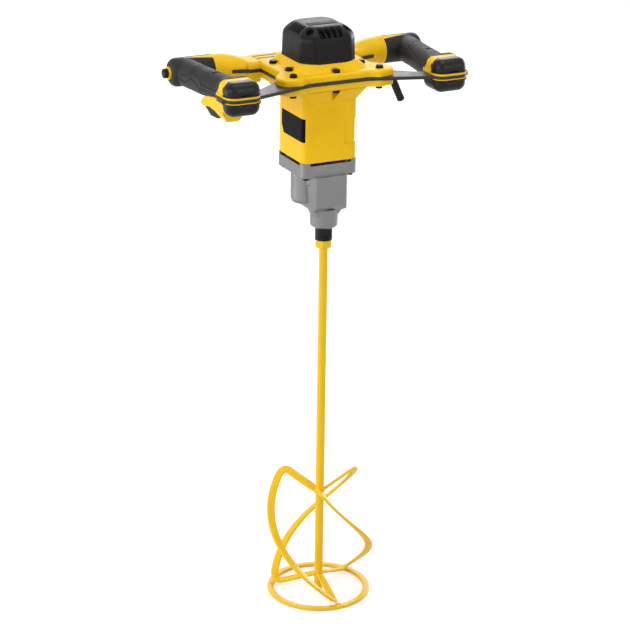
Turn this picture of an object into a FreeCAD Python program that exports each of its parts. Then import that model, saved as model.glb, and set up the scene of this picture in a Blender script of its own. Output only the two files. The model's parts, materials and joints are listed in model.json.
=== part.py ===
"""Two-handled mixing drill with its helical paddle, as a parametric assembly in millimetres.

The origin lies on the spindle axis, at the underside of the paddle's foot ring. +Z runs up the spindle, +X
along the bar to the right hand grip, and -Y to the front, where the bar is. The operator stands at +Y.
"""
import FreeCAD, Part
import Sketcher
import math
import os
import re

Vector = FreeCAD.Vector
Rotation = FreeCAD.Rotation

# Driving dimensions: every size is written once, here.
SIZES = {
    # how far a cutting tool runs past the face it cuts
    "overcut": 1,
    # paddle
    "ring_radius": 80,
    "ring_width": 10,
    "ring_thick": 5,
    "ring_edge": 1.2,
    "shaft_radius": 6.5,
    "shaft_length": 567,
    "ribbon_width": 12,
    "ribbon_thick": 4.5,
    "ribbon_root_share": 0.75,
    "ribbon_foot": 26,
    "ribbon_inset": 9.5,
    "ribbon_rest": 3,
    "ribbon_pitch": 38,
    "ribbon_crown": 194,
    "ribbon_neck": 167,
    "ribbon_swell": 9.5,
    "ribbon_skew": 1.25,
    "ribbon_lag": 0.12,
    "ribbon_crown_radius": 66,
    "ribbon_bend": 11,
    "ribbon_sweep": 141.5,
    "ribbon_first": -93.6,
    "ribbon_count": 3,
    "collar_across": 23,
    "collar_height": 13,
    "collar_chamfer": 3,
    "stud_radius": 7,
    "stud_length": 18,
    # spindle
    "spindle_radius": 13,
    "spindle_reach": 21,
    "spindle_flats": 22,
    "flat_height": 10,
    "journal_radius": 10,
    "gear_seat_radius": 8.5,
    "spindle_tip_radius": 6,
    # gear train
    "motor_offset": 25,
    "output_teeth": 25,
    "pinion_teeth": 11,
    "coarse_module": 1.5,
    "output_width": 18,
    "output_setback": 32,
    "wheel_teeth": 34,
    "motor_teeth": 10,
    "fine_module": 1,
    "wheel_width": 9,
    "layshaft_radius": 5,
    "mesh_overlap": 2,
    # bearings
    "bearing_width": 7,
    "spindle_bearing_radius": 16,
    "tip_bearing_radius": 12,
    "layshaft_bearing_radius": 8.5,
    "armature_bearing_radius": 11,
    "small_bearing_width": 5,
    "seal_width": 6,
    "clip_thick": 1.4,
    "clip_width": 2.5,
    "run_clearance": 0.08,
    "seat_clearance": 0.03,
    # gear case
    "neck_radius": 20.4,
    "neck_height": 28,
    "neck_chamfer": 2.5,
    "bell_height": 54,
    "bell_half": 34,
    "bell_front": 24,
    "bell_facet": 15,
    "bell_rear": 50,
    "bell_slope": 30,
    "bell_draft": 3.5,
    "bell_foot": 9,
    "case_wall": 4.6,
    "gear_clearance": 1,
    "flange_height": 22,
    "flange_floor": 9,
    "flange_half": 45,
    "flange_corner": 10,
    "vent_height": 4,
    "vent_length": 66,
    "plate_depth": 8,
    "carrier_gap": 0.3,
    # motor
    "housing_half": 44,
    "housing_corner": 10,
    "housing_wall": 3.2,
    "housing_height": 90,
    "housing_chamfer": 16,
    "panel_depth": 1.3,
    "panel_low": 24,
    "panel_high": 61,
    "screw_inset": 8,
    "screw_radius": 2.4,
    "screw_head": 4.2,
    "armature_shaft": 4,
    "armature_radius": 24.4,
    "core_length": 42,
    "core_low": 25,
    "slot_count": 12,
    "slot_width": 3,
    "slot_depth": 7,
    "winding_height": 9,
    "winding_radius": 20,
    "air_gap": 0.8,
    "commutator_radius": 13,
    "commutator_length": 12,
    "fan_radius": 36,
    "fan_height": 9,
    "fan_low": 3,
    "fan_blades": 11,
    "fan_blade": 1.6,
    "fan_disc": 2,
    "fan_hub": 5,
    "baffle_thick": 2,
    "brush_width": 8,
    "brush_height": 8,
    "brush_length": 16,
    "holder_wall": 2,
    "coil_width": 9,
    "coil_length": 34,
    "bracket_thick": 4,
    "bracket_boss": 12,
    "module_half": 26,
    "module_height": 34,
    # hub and bar
    "hub_low_height": 32,
    "flare_half": 59,
    "flare_height": 20,
    "flare_corner": 18,
    "slab_depth": 10,
    "bar_thick": 5,
    "bar_proud": 0.8,
    "bar_width": 25,
    "bar_reach": 197,
    "bar_front": 44,
    "bar_end_front": 73,
    "bar_bend": 46,
    "bar_end_corner": 6,
    "deck_height": 10,
    "collar_rise": 11,
    "collar_half": 46.5,
    "skirt_half": 56,
    "hub_half": 74,
    "hub_front": 42,
    "hub_rear": 112,
    "lobe_reach": 93,
    "lobe_front": 49,
    "hub_edge": 3.5,
    "hub_corner": 7,
    "bore_half": 40.6,
    "ledge_height": 8,
    "ledge_width": 3.4,
    # fasteners of the hub
    "bolt_radius": 3,
    "bolt_hole": 3.3,
    "bolt_head": 9.5,
    "bolt_flange": 6.4,
    "bolt_head_height": 5.5,
    "bolt_flange_height": 1.6,
    "nut_height": 5,
    "spot_gap": 1.2,
    "pocket_half": 6.4,
    "pocket_apex": 0.8,
    "pocket_straight": 6,
    "pocket_wall": 1.5,
    "lobe_bolt_x": 69,
    "lobe_bolt_y": 34,
    "mid_bolt_y": 33,
    "inner_bolt_x": 58.5,
    "inner_bolt_y": 3,
    "rear_bolt_x": 61,
    "rear_bolt_y": 51,
    # motor cap
    "cap_half": 43,
    "cap_chamfer": 15,
    "cap_wall_height": 36,
    "cap_slope_height": 14,
    "cap_slope_inset": 16,
    "cap_wall": 3,
    "cap_screw_inset": 12.5,
    "cap_hole": 4.4,
    "cap_room_chamfer": 27,
    "cap_screw_seat": 14,
    "front_slot_width": 7.4,
    "front_rib": 3.4,
    "side_slot_width": 2.6,
    "side_slot_gap": 4.2,
    # handles
    "handle_lift": 1.5,
    "arm_root_y": 88,
    "arm_root_depth": 24,
    "arm_foot": 20,
    "arm_foot_round": 5,
    "arm_knee_x": 87,
    "arm_knee_y": 90,
    "arm_mid_x": 113,
    "arm_mid_y": 94,
    "arm_mid_depth": 22,
    "arm_sag": 1.2,
    "arm_step": 0.4,
    "arm_collar": 133,
    "arm_end": 140,
    "arm_radius": 21.2,
    "tongue_reach": 116,
    "elbow_y": 97,
    "elbow_radius": 21,
    "elbow_end": 205,
    "elbow_round": 12,
    "stripe_reach": 183,
    "stripe_front": 9.7,
    "stripe_rear": 0.9,
    "stripe_tip": 2.3,
    "stripe_nose": 1,
    "rubber": 5,
    "grip_root_x": 181.5,
    "grip_toe": 6.5,
    "grip_core": 15.5,
    "grip_rear": 20.5,
    "grip_waist": 20,
    "grip_front": 22,
    "wire_radius": 9,
    "end_x": 165,
    "end_y": 56,
    "end_half": 25.5,
    "end_corner": 14,
    "end_height": 19,
    "end_depth": 17,
    "end_round": 10,
    "rim_thick": 3,
    "rim_proud": 1.8,
    "band_depth": 32,
    "bumper_wall": 5.5,
    # trigger and switch
    "trigger_width": 21,
    "trigger_gap": 0.6,
    "trigger_rear": 24,
    "trigger_front": 40,
    "trigger_pivot": 8,
    "lever_lug": 5,
    "lever_drop": 34,
    "pin_radius": 2,
    "pin_half": 13,
    "guard_half": 18,
    "guard_drop": 40,
    "guard_rear": 32,
    "guard_front": 50,
    "guard_foot": 8,
    "arch_rise": 26,
    "switch_width": 13,
    "switch_height": 9,
    "switch_length": 52,
    # speed dial and cord sleeve
    "dial_radius": 7,
    "dial_thick": 6.5,
    "dial_seat": 9.5,
    "dial_proud": 2.5,
    "dial_stem": 3,
    "dial_gap": 0.3,
    "sleeve_radius": 5.8,
    "sleeve_bore": 4.2,
    "sleeve_y": -8,
    "sleeve_drop": 9,
    "sleeve_run": 22,
    "sleeve_hang": 32,
    "sleeve_turn": 65,
    "sleeve_bend": 12,
    "sleeve_grip": 12,
    "gland_wall": 2.7,
}

doc = FreeCAD.newDocument("mixing_drill")
sheet = doc.addObject("Spreadsheet::Sheet", "sizes")
for row, (alias, amount) in enumerate(SIZES.items(), start=1):
    sheet.set(f"A{row}", alias)
    sheet.set(f"B{row}", str(amount))
    sheet.setAlias(f"B{row}", alias)
doc.recompute()

NODES = []


def formula(text):
    """Write the size names in a formula as references to the sheet's cells."""
    return re.sub(r"[a-z_]+", lambda m: "sizes." + m[0] if m[0] in SIZES else m[0], str(text))


def size(text):
    """The present value of a formula."""
    return float(sheet.evalExpression(formula(text)))


def bind(thing, **formulas):
    """Tie properties to formulas; a double underscore in a name stands for a dot."""
    for name, text in formulas.items():
        thing.setExpression(name.replace("__", "."), formula(text))
    return thing


def place(thing, x=0, y=0, z=0):
    """Tie a piece's position to formulas."""
    return bind(thing, Placement__Base__x=x, Placement__Base__y=y, Placement__Base__z=z)


def node(thing, label):
    """Name a finished piece and list it for writing."""
    thing.Label = label
    NODES.append(thing)
    return thing


def mirrored_half(points):
    """Close an outline that is given for +X only, counter-clockwise, by its mirror image."""
    return points + [(f"-({x})", y) for x, y in reversed(points)]


# Axes of a turned piece or a cylinder, which is drawn along its own +Z.
ALONG_X = Rotation(Vector(0, 0, 1), Vector(1, 0, 0))
ACROSS_X = Rotation(Vector(1, 1, 1), 120)


def new_sketch(body, role):
    """An empty sketch on one of the body's own origin planes."""
    sketch = body.newObject("Sketcher::SketchObject", "outline")
    plane = next(feature for feature in body.Origin.OriginFeatures if feature.Role == role)
    sketch.AttachmentSupport = [(plane, "")]
    sketch.MapMode = "FlatFace"
    return sketch


def fix_point(sketch, edge, corner, x, y):
    """Tie one corner of a sketch to two formulas."""
    for kind, text in (("DistanceX", x), ("DistanceY", y)):
        index = sketch.addConstraint(Sketcher.Constraint(kind, -1, 1, edge, corner, size(text)))
        sketch.setExpression(f"Constraints[{index}]", formula(text))


def polygon(body, points, role="XY_Plane"):
    """A closed sketch with straight sides whose corners follow their formulas."""
    sketch = new_sketch(body, role)
    corners = [Vector(size(x), size(y), 0) for x, y in points]
    total = len(corners)
    for index in range(total):
        sketch.addGeometry(Part.LineSegment(corners[index], corners[(index + 1) % total]), False)
    for index in range(total):
        sketch.addConstraint(Sketcher.Constraint("Coincident", index, 2, (index + 1) % total, 1))
    for index, (x, y) in enumerate(points):
        fix_point(sketch, index, 1, x, y)
    return sketch


def rounded_rectangle(body, half_x, half_y, corner):
    """A sketch of a rectangle about the origin with four equal round corners."""
    sketch = new_sketch(body, "XY_Plane")
    wide, deep, radius = size(half_x), size(half_y), size(corner)
    signs = ((1, -1), (1, 1), (-1, 1), (-1, -1))
    flats = (((-wide + radius, -deep), (wide - radius, -deep)), ((wide, -deep + radius), (wide, deep - radius)),
             ((wide - radius, deep), (-wide + radius, deep)), ((-wide, deep - radius), (-wide, -deep + radius)))
    for start, end in flats:
        sketch.addGeometry(Part.LineSegment(Vector(*start, 0), Vector(*end, 0)), False)
    for index, (sign_x, sign_y) in enumerate(signs):
        centre = Vector(sign_x * (wide - radius), sign_y * (deep - radius), 0)
        turn = math.radians(90 * (index - 1))
        circle = Part.Circle(centre, Vector(0, 0, 1), radius)
        sketch.addGeometry(Part.ArcOfCircle(circle, turn, turn + math.pi / 2), False)
    for index in range(4):
        sketch.addConstraint(Sketcher.Constraint("Tangent", index, 2, 4 + index, 1))
        sketch.addConstraint(Sketcher.Constraint("Tangent", 4 + index, 2, (index + 1) % 4, 1))
        sketch.addConstraint(Sketcher.Constraint("Vertical" if index % 2 else "Horizontal", index))
    for index in (5, 6, 7):
        sketch.addConstraint(Sketcher.Constraint("Equal", 4, index))
    limits = (("Radius", (4,), corner), ("DistanceY", (-1, 1, 0, 1), f"-({half_y})"),
              ("DistanceX", (-1, 1, 1, 1), half_x), ("DistanceY", (-1, 1, 2, 1), half_y),
              ("DistanceX", (-1, 1, 3, 1), f"-({half_x})"))
    for kind, where, text in limits:
        index = sketch.addConstraint(Sketcher.Constraint(kind, *where, size(text)))
        sketch.setExpression(f"Constraints[{index}]", formula(text))
    return sketch


def new_body(name):
    """An empty body."""
    return doc.addObject("PartDesign::Body", name)


def pad(body, sketch, length):
    """Raise a sketch into a solid along the body's +Z."""
    feature = body.newObject("PartDesign::Pad", "pad")
    feature.Profile = sketch
    bind(feature, Length=length)
    sketch.Visibility = False
    return feature


def prism(name, points, height, x=0, y=0, z=0):
    """A straight-sided prism along +Z."""
    body = new_body(name)
    pad(body, polygon(body, points), height)
    return place(body, x, y, z)


def slab(name, half_x, half_y, corner, height, x=0, y=0, z=0, turn=None):
    """A prism on a rectangle with round corners, along +Z or along the axis that turn gives."""
    body = new_body(name)
    pad(body, rounded_rectangle(body, half_x, half_y, corner), height)
    if turn:
        body.Placement = FreeCAD.Placement(Vector(), turn)
    return place(body, x, y, z)


def tapered(name, lower, upper, height, x=0, y=0, z=0):
    """A loft between two such rectangles, each given as half width and corner radius."""
    body = new_body(name)
    low = rounded_rectangle(body, lower[0], lower[0], lower[1])
    high = rounded_rectangle(body, upper[0], upper[0], upper[1])
    bind(high, AttachmentOffset__Base__z=height)
    loft = body.newObject("PartDesign::AdditiveLoft", "loft")
    loft.Profile = low
    loft.Sections = [high]
    loft.Ruled = True
    return place(body, x, y, z)


def turned(name, profile, x=0, y=0, z=0, turn=None):
    """A solid of revolution from (radius, height) corners, about its own Z axis."""
    body = new_body(name)
    sketch = polygon(body, profile, "XZ_Plane")
    feature = body.newObject("PartDesign::Revolution", "turning")
    feature.Profile = sketch
    feature.ReferenceAxis = (sketch, ["V_Axis"])
    feature.Angle = 360
    if turn:
        body.Placement = FreeCAD.Placement(Vector(), turn)
    return place(body, x, y, z)


def rounded_edges(body, radius, wanted):
    """Round those edges of a body for which wanted(edge) holds."""
    doc.recompute()
    tip = body.Tip
    names = [f"Edge{i + 1}" for i, edge in enumerate(tip.Shape.Edges) if wanted(edge)]
    feature = body.newObject("PartDesign::Fillet", "rounding")
    feature.Base = (tip, names)
    bind(feature, Radius=radius)
    doc.recompute()
    return body


def upright(edge):
    """Whether an edge runs along Z."""
    first, last = edge.Vertexes[0].Point, edge.Vertexes[-1].Point
    return abs(first.x - last.x) + abs(first.y - last.y) < 1e-6 and abs(first.z - last.z) > 1e-6


def edge_at(level):
    """A test for edges that lie wholly at one height of their body."""
    height = size(level)
    return lambda edge: all(abs(corner.Z - height) < 1e-4 for corner in edge.Vertexes)


def cylinder(name, radius, height, x=0, y=0, z=0, turn=None):
    """A cylinder along +Z, or along the axis that turn gives."""
    piece = doc.addObject("Part::Cylinder", name)
    bind(piece, Radius=radius, Height=height)
    if turn:
        piece.Placement = FreeCAD.Placement(Vector(), turn)
    return place(piece, x, y, z)


def box(name, start, lengths):
    """A box from its lowest corner and its three lengths."""
    piece = doc.addObject("Part::Box", name)
    bind(piece, Length=lengths[0], Width=lengths[1], Height=lengths[2])
    return place(piece, *start)


def fuse(name, *pieces):
    """Join pieces into one solid."""
    joined = doc.addObject("Part::MultiFuse", name)
    joined.Shapes = list(pieces)
    joined.Refine = True
    return joined


def cut(name, base, *tools):
    """Take tools away from a base."""
    result = base
    for tool in tools:
        step = doc.addObject("Part::Cut", name)
        step.Base = result
        step.Tool = tool
        result = step
    result.Refine = True
    return result


def common(name, *pieces):
    """What several pieces share."""
    shared = doc.addObject("Part::MultiCommon", name)
    shared.Shapes = list(pieces)
    shared.Refine = True
    return shared


def group(name, pieces):
    """Separate solids kept as one piece."""
    gathered = doc.addObject("Part::Compound", name)
    gathered.Links = list(pieces)
    return gathered


def mirror(name, piece):
    """The mirror image across the plane X = 0."""
    image = doc.addObject("Part::Mirroring", name)
    image.Source = piece
    image.Base = Vector(0, 0, 0)
    image.Normal = Vector(1, 0, 0)
    return image


def made(name, shape):
    """A piece whose shape is worked out here, from sizes that were read from the sheet."""
    piece = doc.addObject("Part::Feature", name)
    piece.Shape = shape
    return piece


# Heights up the spindle axis, each from the one below it.
Z_SPINDLE = "(shaft_length + collar_height)"
Z_NECK = f"({Z_SPINDLE} + spindle_reach)"
Z_BELL = f"({Z_NECK} + neck_height)"
Z_FLANGE = f"({Z_BELL} + bell_height)"
Z_CARRIER = f"({Z_FLANGE} + flange_floor)"
Z_MOTOR = f"({Z_FLANGE} + flange_height)"
Z_HUB = f"({Z_MOTOR} + housing_height)"
Z_LEDGE = f"({Z_HUB} + ledge_height)"
Z_BAR = f"({Z_HUB} + hub_low_height)"
Z_SPLIT = f"({Z_BAR} + bar_thick / 2)"
Z_DECK = f"({Z_BAR} + bar_thick)"
Z_RIM = f"({Z_DECK} + deck_height)"
Z_CAP = f"({Z_RIM} + collar_rise)"
Z_SHOULDER = f"({Z_CAP} + cap_wall_height)"
Z_GRIP = f"({Z_SPLIT} + handle_lift)"

# The layshaft stands where both its gear pairs mesh.
COARSE_CENTRES = "(coarse_module * (output_teeth + pinion_teeth) / 2)"
FINE_CENTRES = "(fine_module * (wheel_teeth + motor_teeth) / 2)"
LAY_Y = f"(({COARSE_CENTRES} ^ 2 - {FINE_CENTRES} ^ 2 + motor_offset ^ 2) / (2 * motor_offset))"
LAY_X = f"(-sqrt({COARSE_CENTRES} ^ 2 - {LAY_Y} ^ 2))"


def build_paddle():
    """Foot ring, shaft, three helical ribbons and the hexagon collar with its threaded stud."""
    inner = "(ring_radius - ring_width)"
    ring = turned("ring", [(inner, 0), ("ring_radius", 0), ("ring_radius", "ring_thick - ring_edge"),
                           ("ring_radius - ring_edge", "ring_thick"), (inner, "ring_thick")])
    node(ring, "paddle_ring")
    node(cylinder("shaft", "shaft_radius", "shaft_length"), "paddle_shaft")
    step = 360 / round(size("ribbon_count"))
    for index in range(round(size("ribbon_count"))):
        node(made("ribbon", ribbon(size("ribbon_first") + index * step)), f"paddle_ribbon_{index + 1}")

    hexagon = doc.addObject("Part::Prism", "hexagon")
    hexagon.Polygon = 6
    bind(hexagon, Circumradius="collar_across / sqrt(3)", Height="collar_height")
    place(hexagon, z="shaft_length")
    tip = "(collar_across / sqrt(3))"
    bevel = turned("bevel", [(0, 0), (f"{tip} - collar_chamfer", 0), (tip, "collar_chamfer"),
                             (tip, "collar_height"), (0, "collar_height")], z="shaft_length")
    stud = cylinder("stud", "stud_radius", "stud_length", z=Z_SPINDLE)
    node(fuse("collar", common("bevelled", hexagon, bevel), stud), "paddle_collar")


def ribbon_path():
    """Centre line of a ribbon seen from above, as (x, y, height), for a ribbon that starts along +X.

    A spoke leaves the shaft, bends clockwise onto a spiral that climbs and swells, and bends back to it.
    """
    foot = size("ring_radius - ribbon_inset")
    crown = size("ribbon_crown_radius")
    seat = size("ring_thick + ribbon_rest")
    sweep, bend = -math.radians(size("ribbon_sweep")), size("ribbon_bend")
    rise = size("ribbon_crown") - seat

    def spiral(share):
        """A point of the climbing stretch, from 0 at the foot to 1 at the crown."""
        bulge = math.sin(math.pi * share ** size("ribbon_skew"))
        radius = foot + (crown - foot) * share ** 2 + size("ribbon_swell") * bulge
        climb = share - size("ribbon_lag") * share * (1 - share)
        return Vector(radius * math.cos(sweep * share), radius * math.sin(sweep * share), seat + rise * climb)

    def bent(start, corner, end, share):
        """A point of the bend between two straights, on a parabola that touches both."""
        return start * (1 - share) ** 2 + corner * (2 * share * (1 - share)) + end * share ** 2

    low_share, high_share = bend / (foot * -sweep), bend / (crown * -sweep)
    low_start = Vector(foot - bend, 0, seat)
    low_end = spiral(low_share)
    low_corner = Vector(foot, 0, seat)
    outward = Vector(math.cos(sweep), math.sin(sweep), 0)
    high_start = spiral(1 - high_share)
    high_corner = spiral(1)
    spoke_drop = (size("ribbon_crown") - size("ribbon_neck")) * bend / crown
    high_end = outward * (crown - bend) + Vector(0, 0, size("ribbon_crown") - spoke_drop)
    inside = size("shaft_radius") / 2
    root = Vector(inside, 0, size("ribbon_foot"))
    points = [root, (root + low_start) / 2]
    points += [bent(low_start, low_corner, low_end, k / 4) for k in range(5)]
    points += [spiral(low_share + (1 - low_share - high_share) * k / 12) for k in range(1, 12)]
    points += [bent(high_start, high_corner, high_end, k / 4) for k in range(5)]
    hub = outward * inside + Vector(0, 0, size("ribbon_neck"))
    return points + [(high_end + hub) / 2, hub]


def ribbon(bearing):
    """One flat bar along its path, pitched as a propeller's blade is.

    Its ends meet the shaft and its foot lies on the ring.
    """
    points = ribbon_path()
    total = len(points)
    pitch = math.radians(size("ribbon_pitch"))
    rails = [[], [], [], []]
    for index, point in enumerate(points):
        along = points[min(index + 1, total - 1)] - points[max(index - 1, 0)]
        slim = size("ribbon_root_share") if index in (0, total - 1) else 1
        about = Vector(-point.y, point.x, 0).normalize()
        face = about * math.sin(pitch) + Vector(0, 0, math.cos(pitch))
        side = along.cross(face).normalize()
        lift = side.cross(along).normalize() * size("ribbon_thick / 2")
        side = side * size("ribbon_width / 2") * slim
        for rail, offset in zip(rails, (side - lift, side + lift, lift - side, side * -1 - lift)):
            rail.append(point + offset)
    edges = []
    for rail in rails:
        curve = Part.BSplineCurve()
        curve.interpolate(rail)
        edges.append(curve.toShape())
    faces = [Part.makeRuledSurface(edges[k], edges[(k + 1) % 4]) for k in range(4)]
    for end in (0, -1):
        corners = [rail[end] for rail in rails]
        faces.append(Part.Face(Part.makePolygon(corners + corners[:1])))
    shell = Part.makeShell(faces)
    shell.sewShape()
    bar = Part.makeSolid(shell)
    if bar.Volume < 0:
        bar.reverse()
    bar.rotate(Vector(), Vector(0, 0, 1), bearing)
    ring = Part.makeCylinder(size("ring_radius"), size("ring_thick"))
    ring = ring.cut(Part.makeCylinder(size("ring_radius - ring_width"), size("ring_thick")))
    return bar.cut(Part.makeCylinder(size("shaft_radius"), size("shaft_length"))).cut(ring)


def gear(teeth, module, width, bore, phase, low):
    """A spur gear with straight tooth flanks and backlash, one tooth centred at the angle phase.

    Args: tooth count, module, width, bore radius (0 for none), phase in degrees, height of the lower face.
    """
    count = round(teeth)
    pitch = 2 * math.pi / count
    root, tip = module * (count / 2 - 1.25), module * (count / 2 + 1)
    corners = []
    for index in range(count):
        centre = math.radians(phase) + index * pitch
        for share, radius in ((-0.26, root), (-0.09, tip), (0.09, tip), (0.26, root)):
            turn = centre + share * pitch
            corners.append(Vector(radius * math.cos(turn), radius * math.sin(turn), low))
    blank = Part.Face(Part.makePolygon(corners + corners[:1])).extrude(Vector(0, 0, width))
    if bore:
        blank = blank.cut(Part.makeCylinder(bore, width, Vector(0, 0, low)))
    return blank


def build_spindle():
    """Spindle with its wrench flats and socket, output gear, bearings, seal and retaining clip."""
    seal_top = "(spindle_reach + seal_width + clip_thick)"
    gear_low = f"({seal_top} + bearing_width + clip_thick + output_setback)"
    profile = [("stud_radius + run_clearance", 0), ("spindle_radius", 0), ("spindle_radius", seal_top),
               ("journal_radius", seal_top), ("journal_radius", f"{seal_top} + bearing_width + 3 * clip_thick"),
               ("gear_seat_radius", f"{seal_top} + bearing_width + 4 * clip_thick"),
               ("gear_seat_radius", f"{Z_CARRIER} - {Z_SPINDLE} - 1"),
               ("spindle_tip_radius", f"{Z_CARRIER} - {Z_SPINDLE} - 1"),
               ("spindle_tip_radius", f"{Z_CARRIER} - {Z_SPINDLE} + small_bearing_width + 1"),
               (0, f"{Z_CARRIER} - {Z_SPINDLE} + small_bearing_width + 1"),
               (0, "stud_length + 2"), ("stud_radius + run_clearance", "stud_length + 2")]
    bar = turned("spindle_bar", profile, z=Z_SPINDLE)
    side = "(spindle_radius + overcut)"
    flats = [box("flat", (f"-{side}", low, f"{Z_SPINDLE} + (spindle_reach - flat_height) / 2"),
                 (f"2 * {side}", side, "flat_height"))
             for low in ("spindle_flats / 2", f"-spindle_flats / 2 - {side}")]
    node(cut("flatted", bar, *flats), "spindle")

    toward_lay = math.degrees(math.atan2(size(LAY_Y), size(LAY_X)))
    low = size(f"{Z_SPINDLE} + {gear_low}")
    wheel = gear(size("output_teeth"), size("coarse_module"), size("output_width"),
                 size("gear_seat_radius + seat_clearance"), toward_lay, low)
    node(made("output", wheel), "output_gear")

    bearing_low = f"({Z_SPINDLE} + {seal_top} + seat_clearance)"
    node(bearing("lower_bearing", "journal_radius", "spindle_bearing_radius", "bearing_width", z=bearing_low),
         "spindle_lower_bearing")
    node(bearing("tip_bearing", "spindle_tip_radius", "tip_bearing_radius", "small_bearing_width", z=Z_CARRIER),
         "spindle_upper_bearing")
    clip_low = f"({bearing_low} + bearing_width + seat_clearance)"
    clip = turned("clip", [("journal_radius + run_clearance", 0), ("journal_radius + clip_width", 0),
                           ("journal_radius + clip_width", "clip_thick"),
                           ("journal_radius + run_clearance", "clip_thick")],
                  z=clip_low)
    node(clip, "spindle_clip")
    lip = turned("seal", [("spindle_radius + run_clearance", 0), ("spindle_bearing_radius - seat_clearance", 0),
                          ("spindle_bearing_radius - seat_clearance", "seal_width"),
                          ("spindle_radius + 1", "seal_width"),
                          ("spindle_radius + run_clearance", "seal_width / 2")],
                 z=Z_NECK)
    node(lip, "spindle_seal")
    return low


def bearing(name, bore, outside, width, x=0, y=0, z=0):
    """A sealed ball bearing: two races with a shield set back between them, turning on its bore's clearance."""
    inner = f"({bore} + run_clearance)"
    outer = f"({outside} - seat_clearance)"
    race = f"(({outer} - {inner}) / 4)"
    recess = f"({width} / 10)"
    return turned(name, [(inner, 0), (f"{inner} + {race}", 0), (f"{inner} + {race}", recess),
                         (f"{outer} - {race}", recess), (f"{outer} - {race}", 0), (outer, 0), (outer, width),
                         (f"{outer} - {race}", width), (f"{outer} - {race}", f"{width} - {recess}"),
                         (f"{inner} + {race}", f"{width} - {recess}"), (f"{inner} + {race}", width),
                         (inner, width)], x, y, z)


def build_layshaft(output_low):
    """Layshaft with its pinion, the large wheel that the motor drives, and its two bearings."""
    toward_lay = math.degrees(math.atan2(size(LAY_Y), size(LAY_X)))
    toward_motor = math.degrees(math.atan2(size("motor_offset") - size(LAY_Y), -size(LAY_X)))
    here = Vector(size(LAY_X), size(LAY_Y), 0)
    pinion_pitch = 360 / round(size("pinion_teeth"))
    pinion_low = output_low - size("mesh_overlap")
    pinion = gear(size("pinion_teeth"), size("coarse_module"), size("output_width + 2 * mesh_overlap"), 0,
                  toward_lay + 180 + pinion_pitch / 2, pinion_low)
    shaft_low = pinion_low - size("small_bearing_width") - 1
    shaft_top = size(f"{Z_CARRIER} + small_bearing_width")
    foot = shaft_low + size("carrier_gap")
    core = Part.makeCylinder(size("layshaft_radius"), shaft_top - foot, Vector(0, 0, foot))
    shaft = core.fuse(pinion).removeSplitter()
    shaft.translate(here)
    node(made("layshaft_bar", shaft), "layshaft")

    wheel_low = size(f"{Z_CARRIER} - 4 - wheel_width")
    wheel = gear(size("wheel_teeth"), size("fine_module"), size("wheel_width"),
                 size("layshaft_radius + seat_clearance"), toward_motor, wheel_low)
    wheel.translate(here)
    node(made("wheel", wheel), "layshaft_wheel")
    node(bearing("foot_bearing", "layshaft_radius", "layshaft_bearing_radius", "small_bearing_width",
                 LAY_X, LAY_Y, shaft_low), "layshaft_lower_bearing")
    node(bearing("head_bearing", "layshaft_radius", "layshaft_bearing_radius", "small_bearing_width",
                 LAY_X, LAY_Y, Z_CARRIER), "layshaft_upper_bearing")
    return pinion_low, wheel_low, toward_motor


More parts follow.
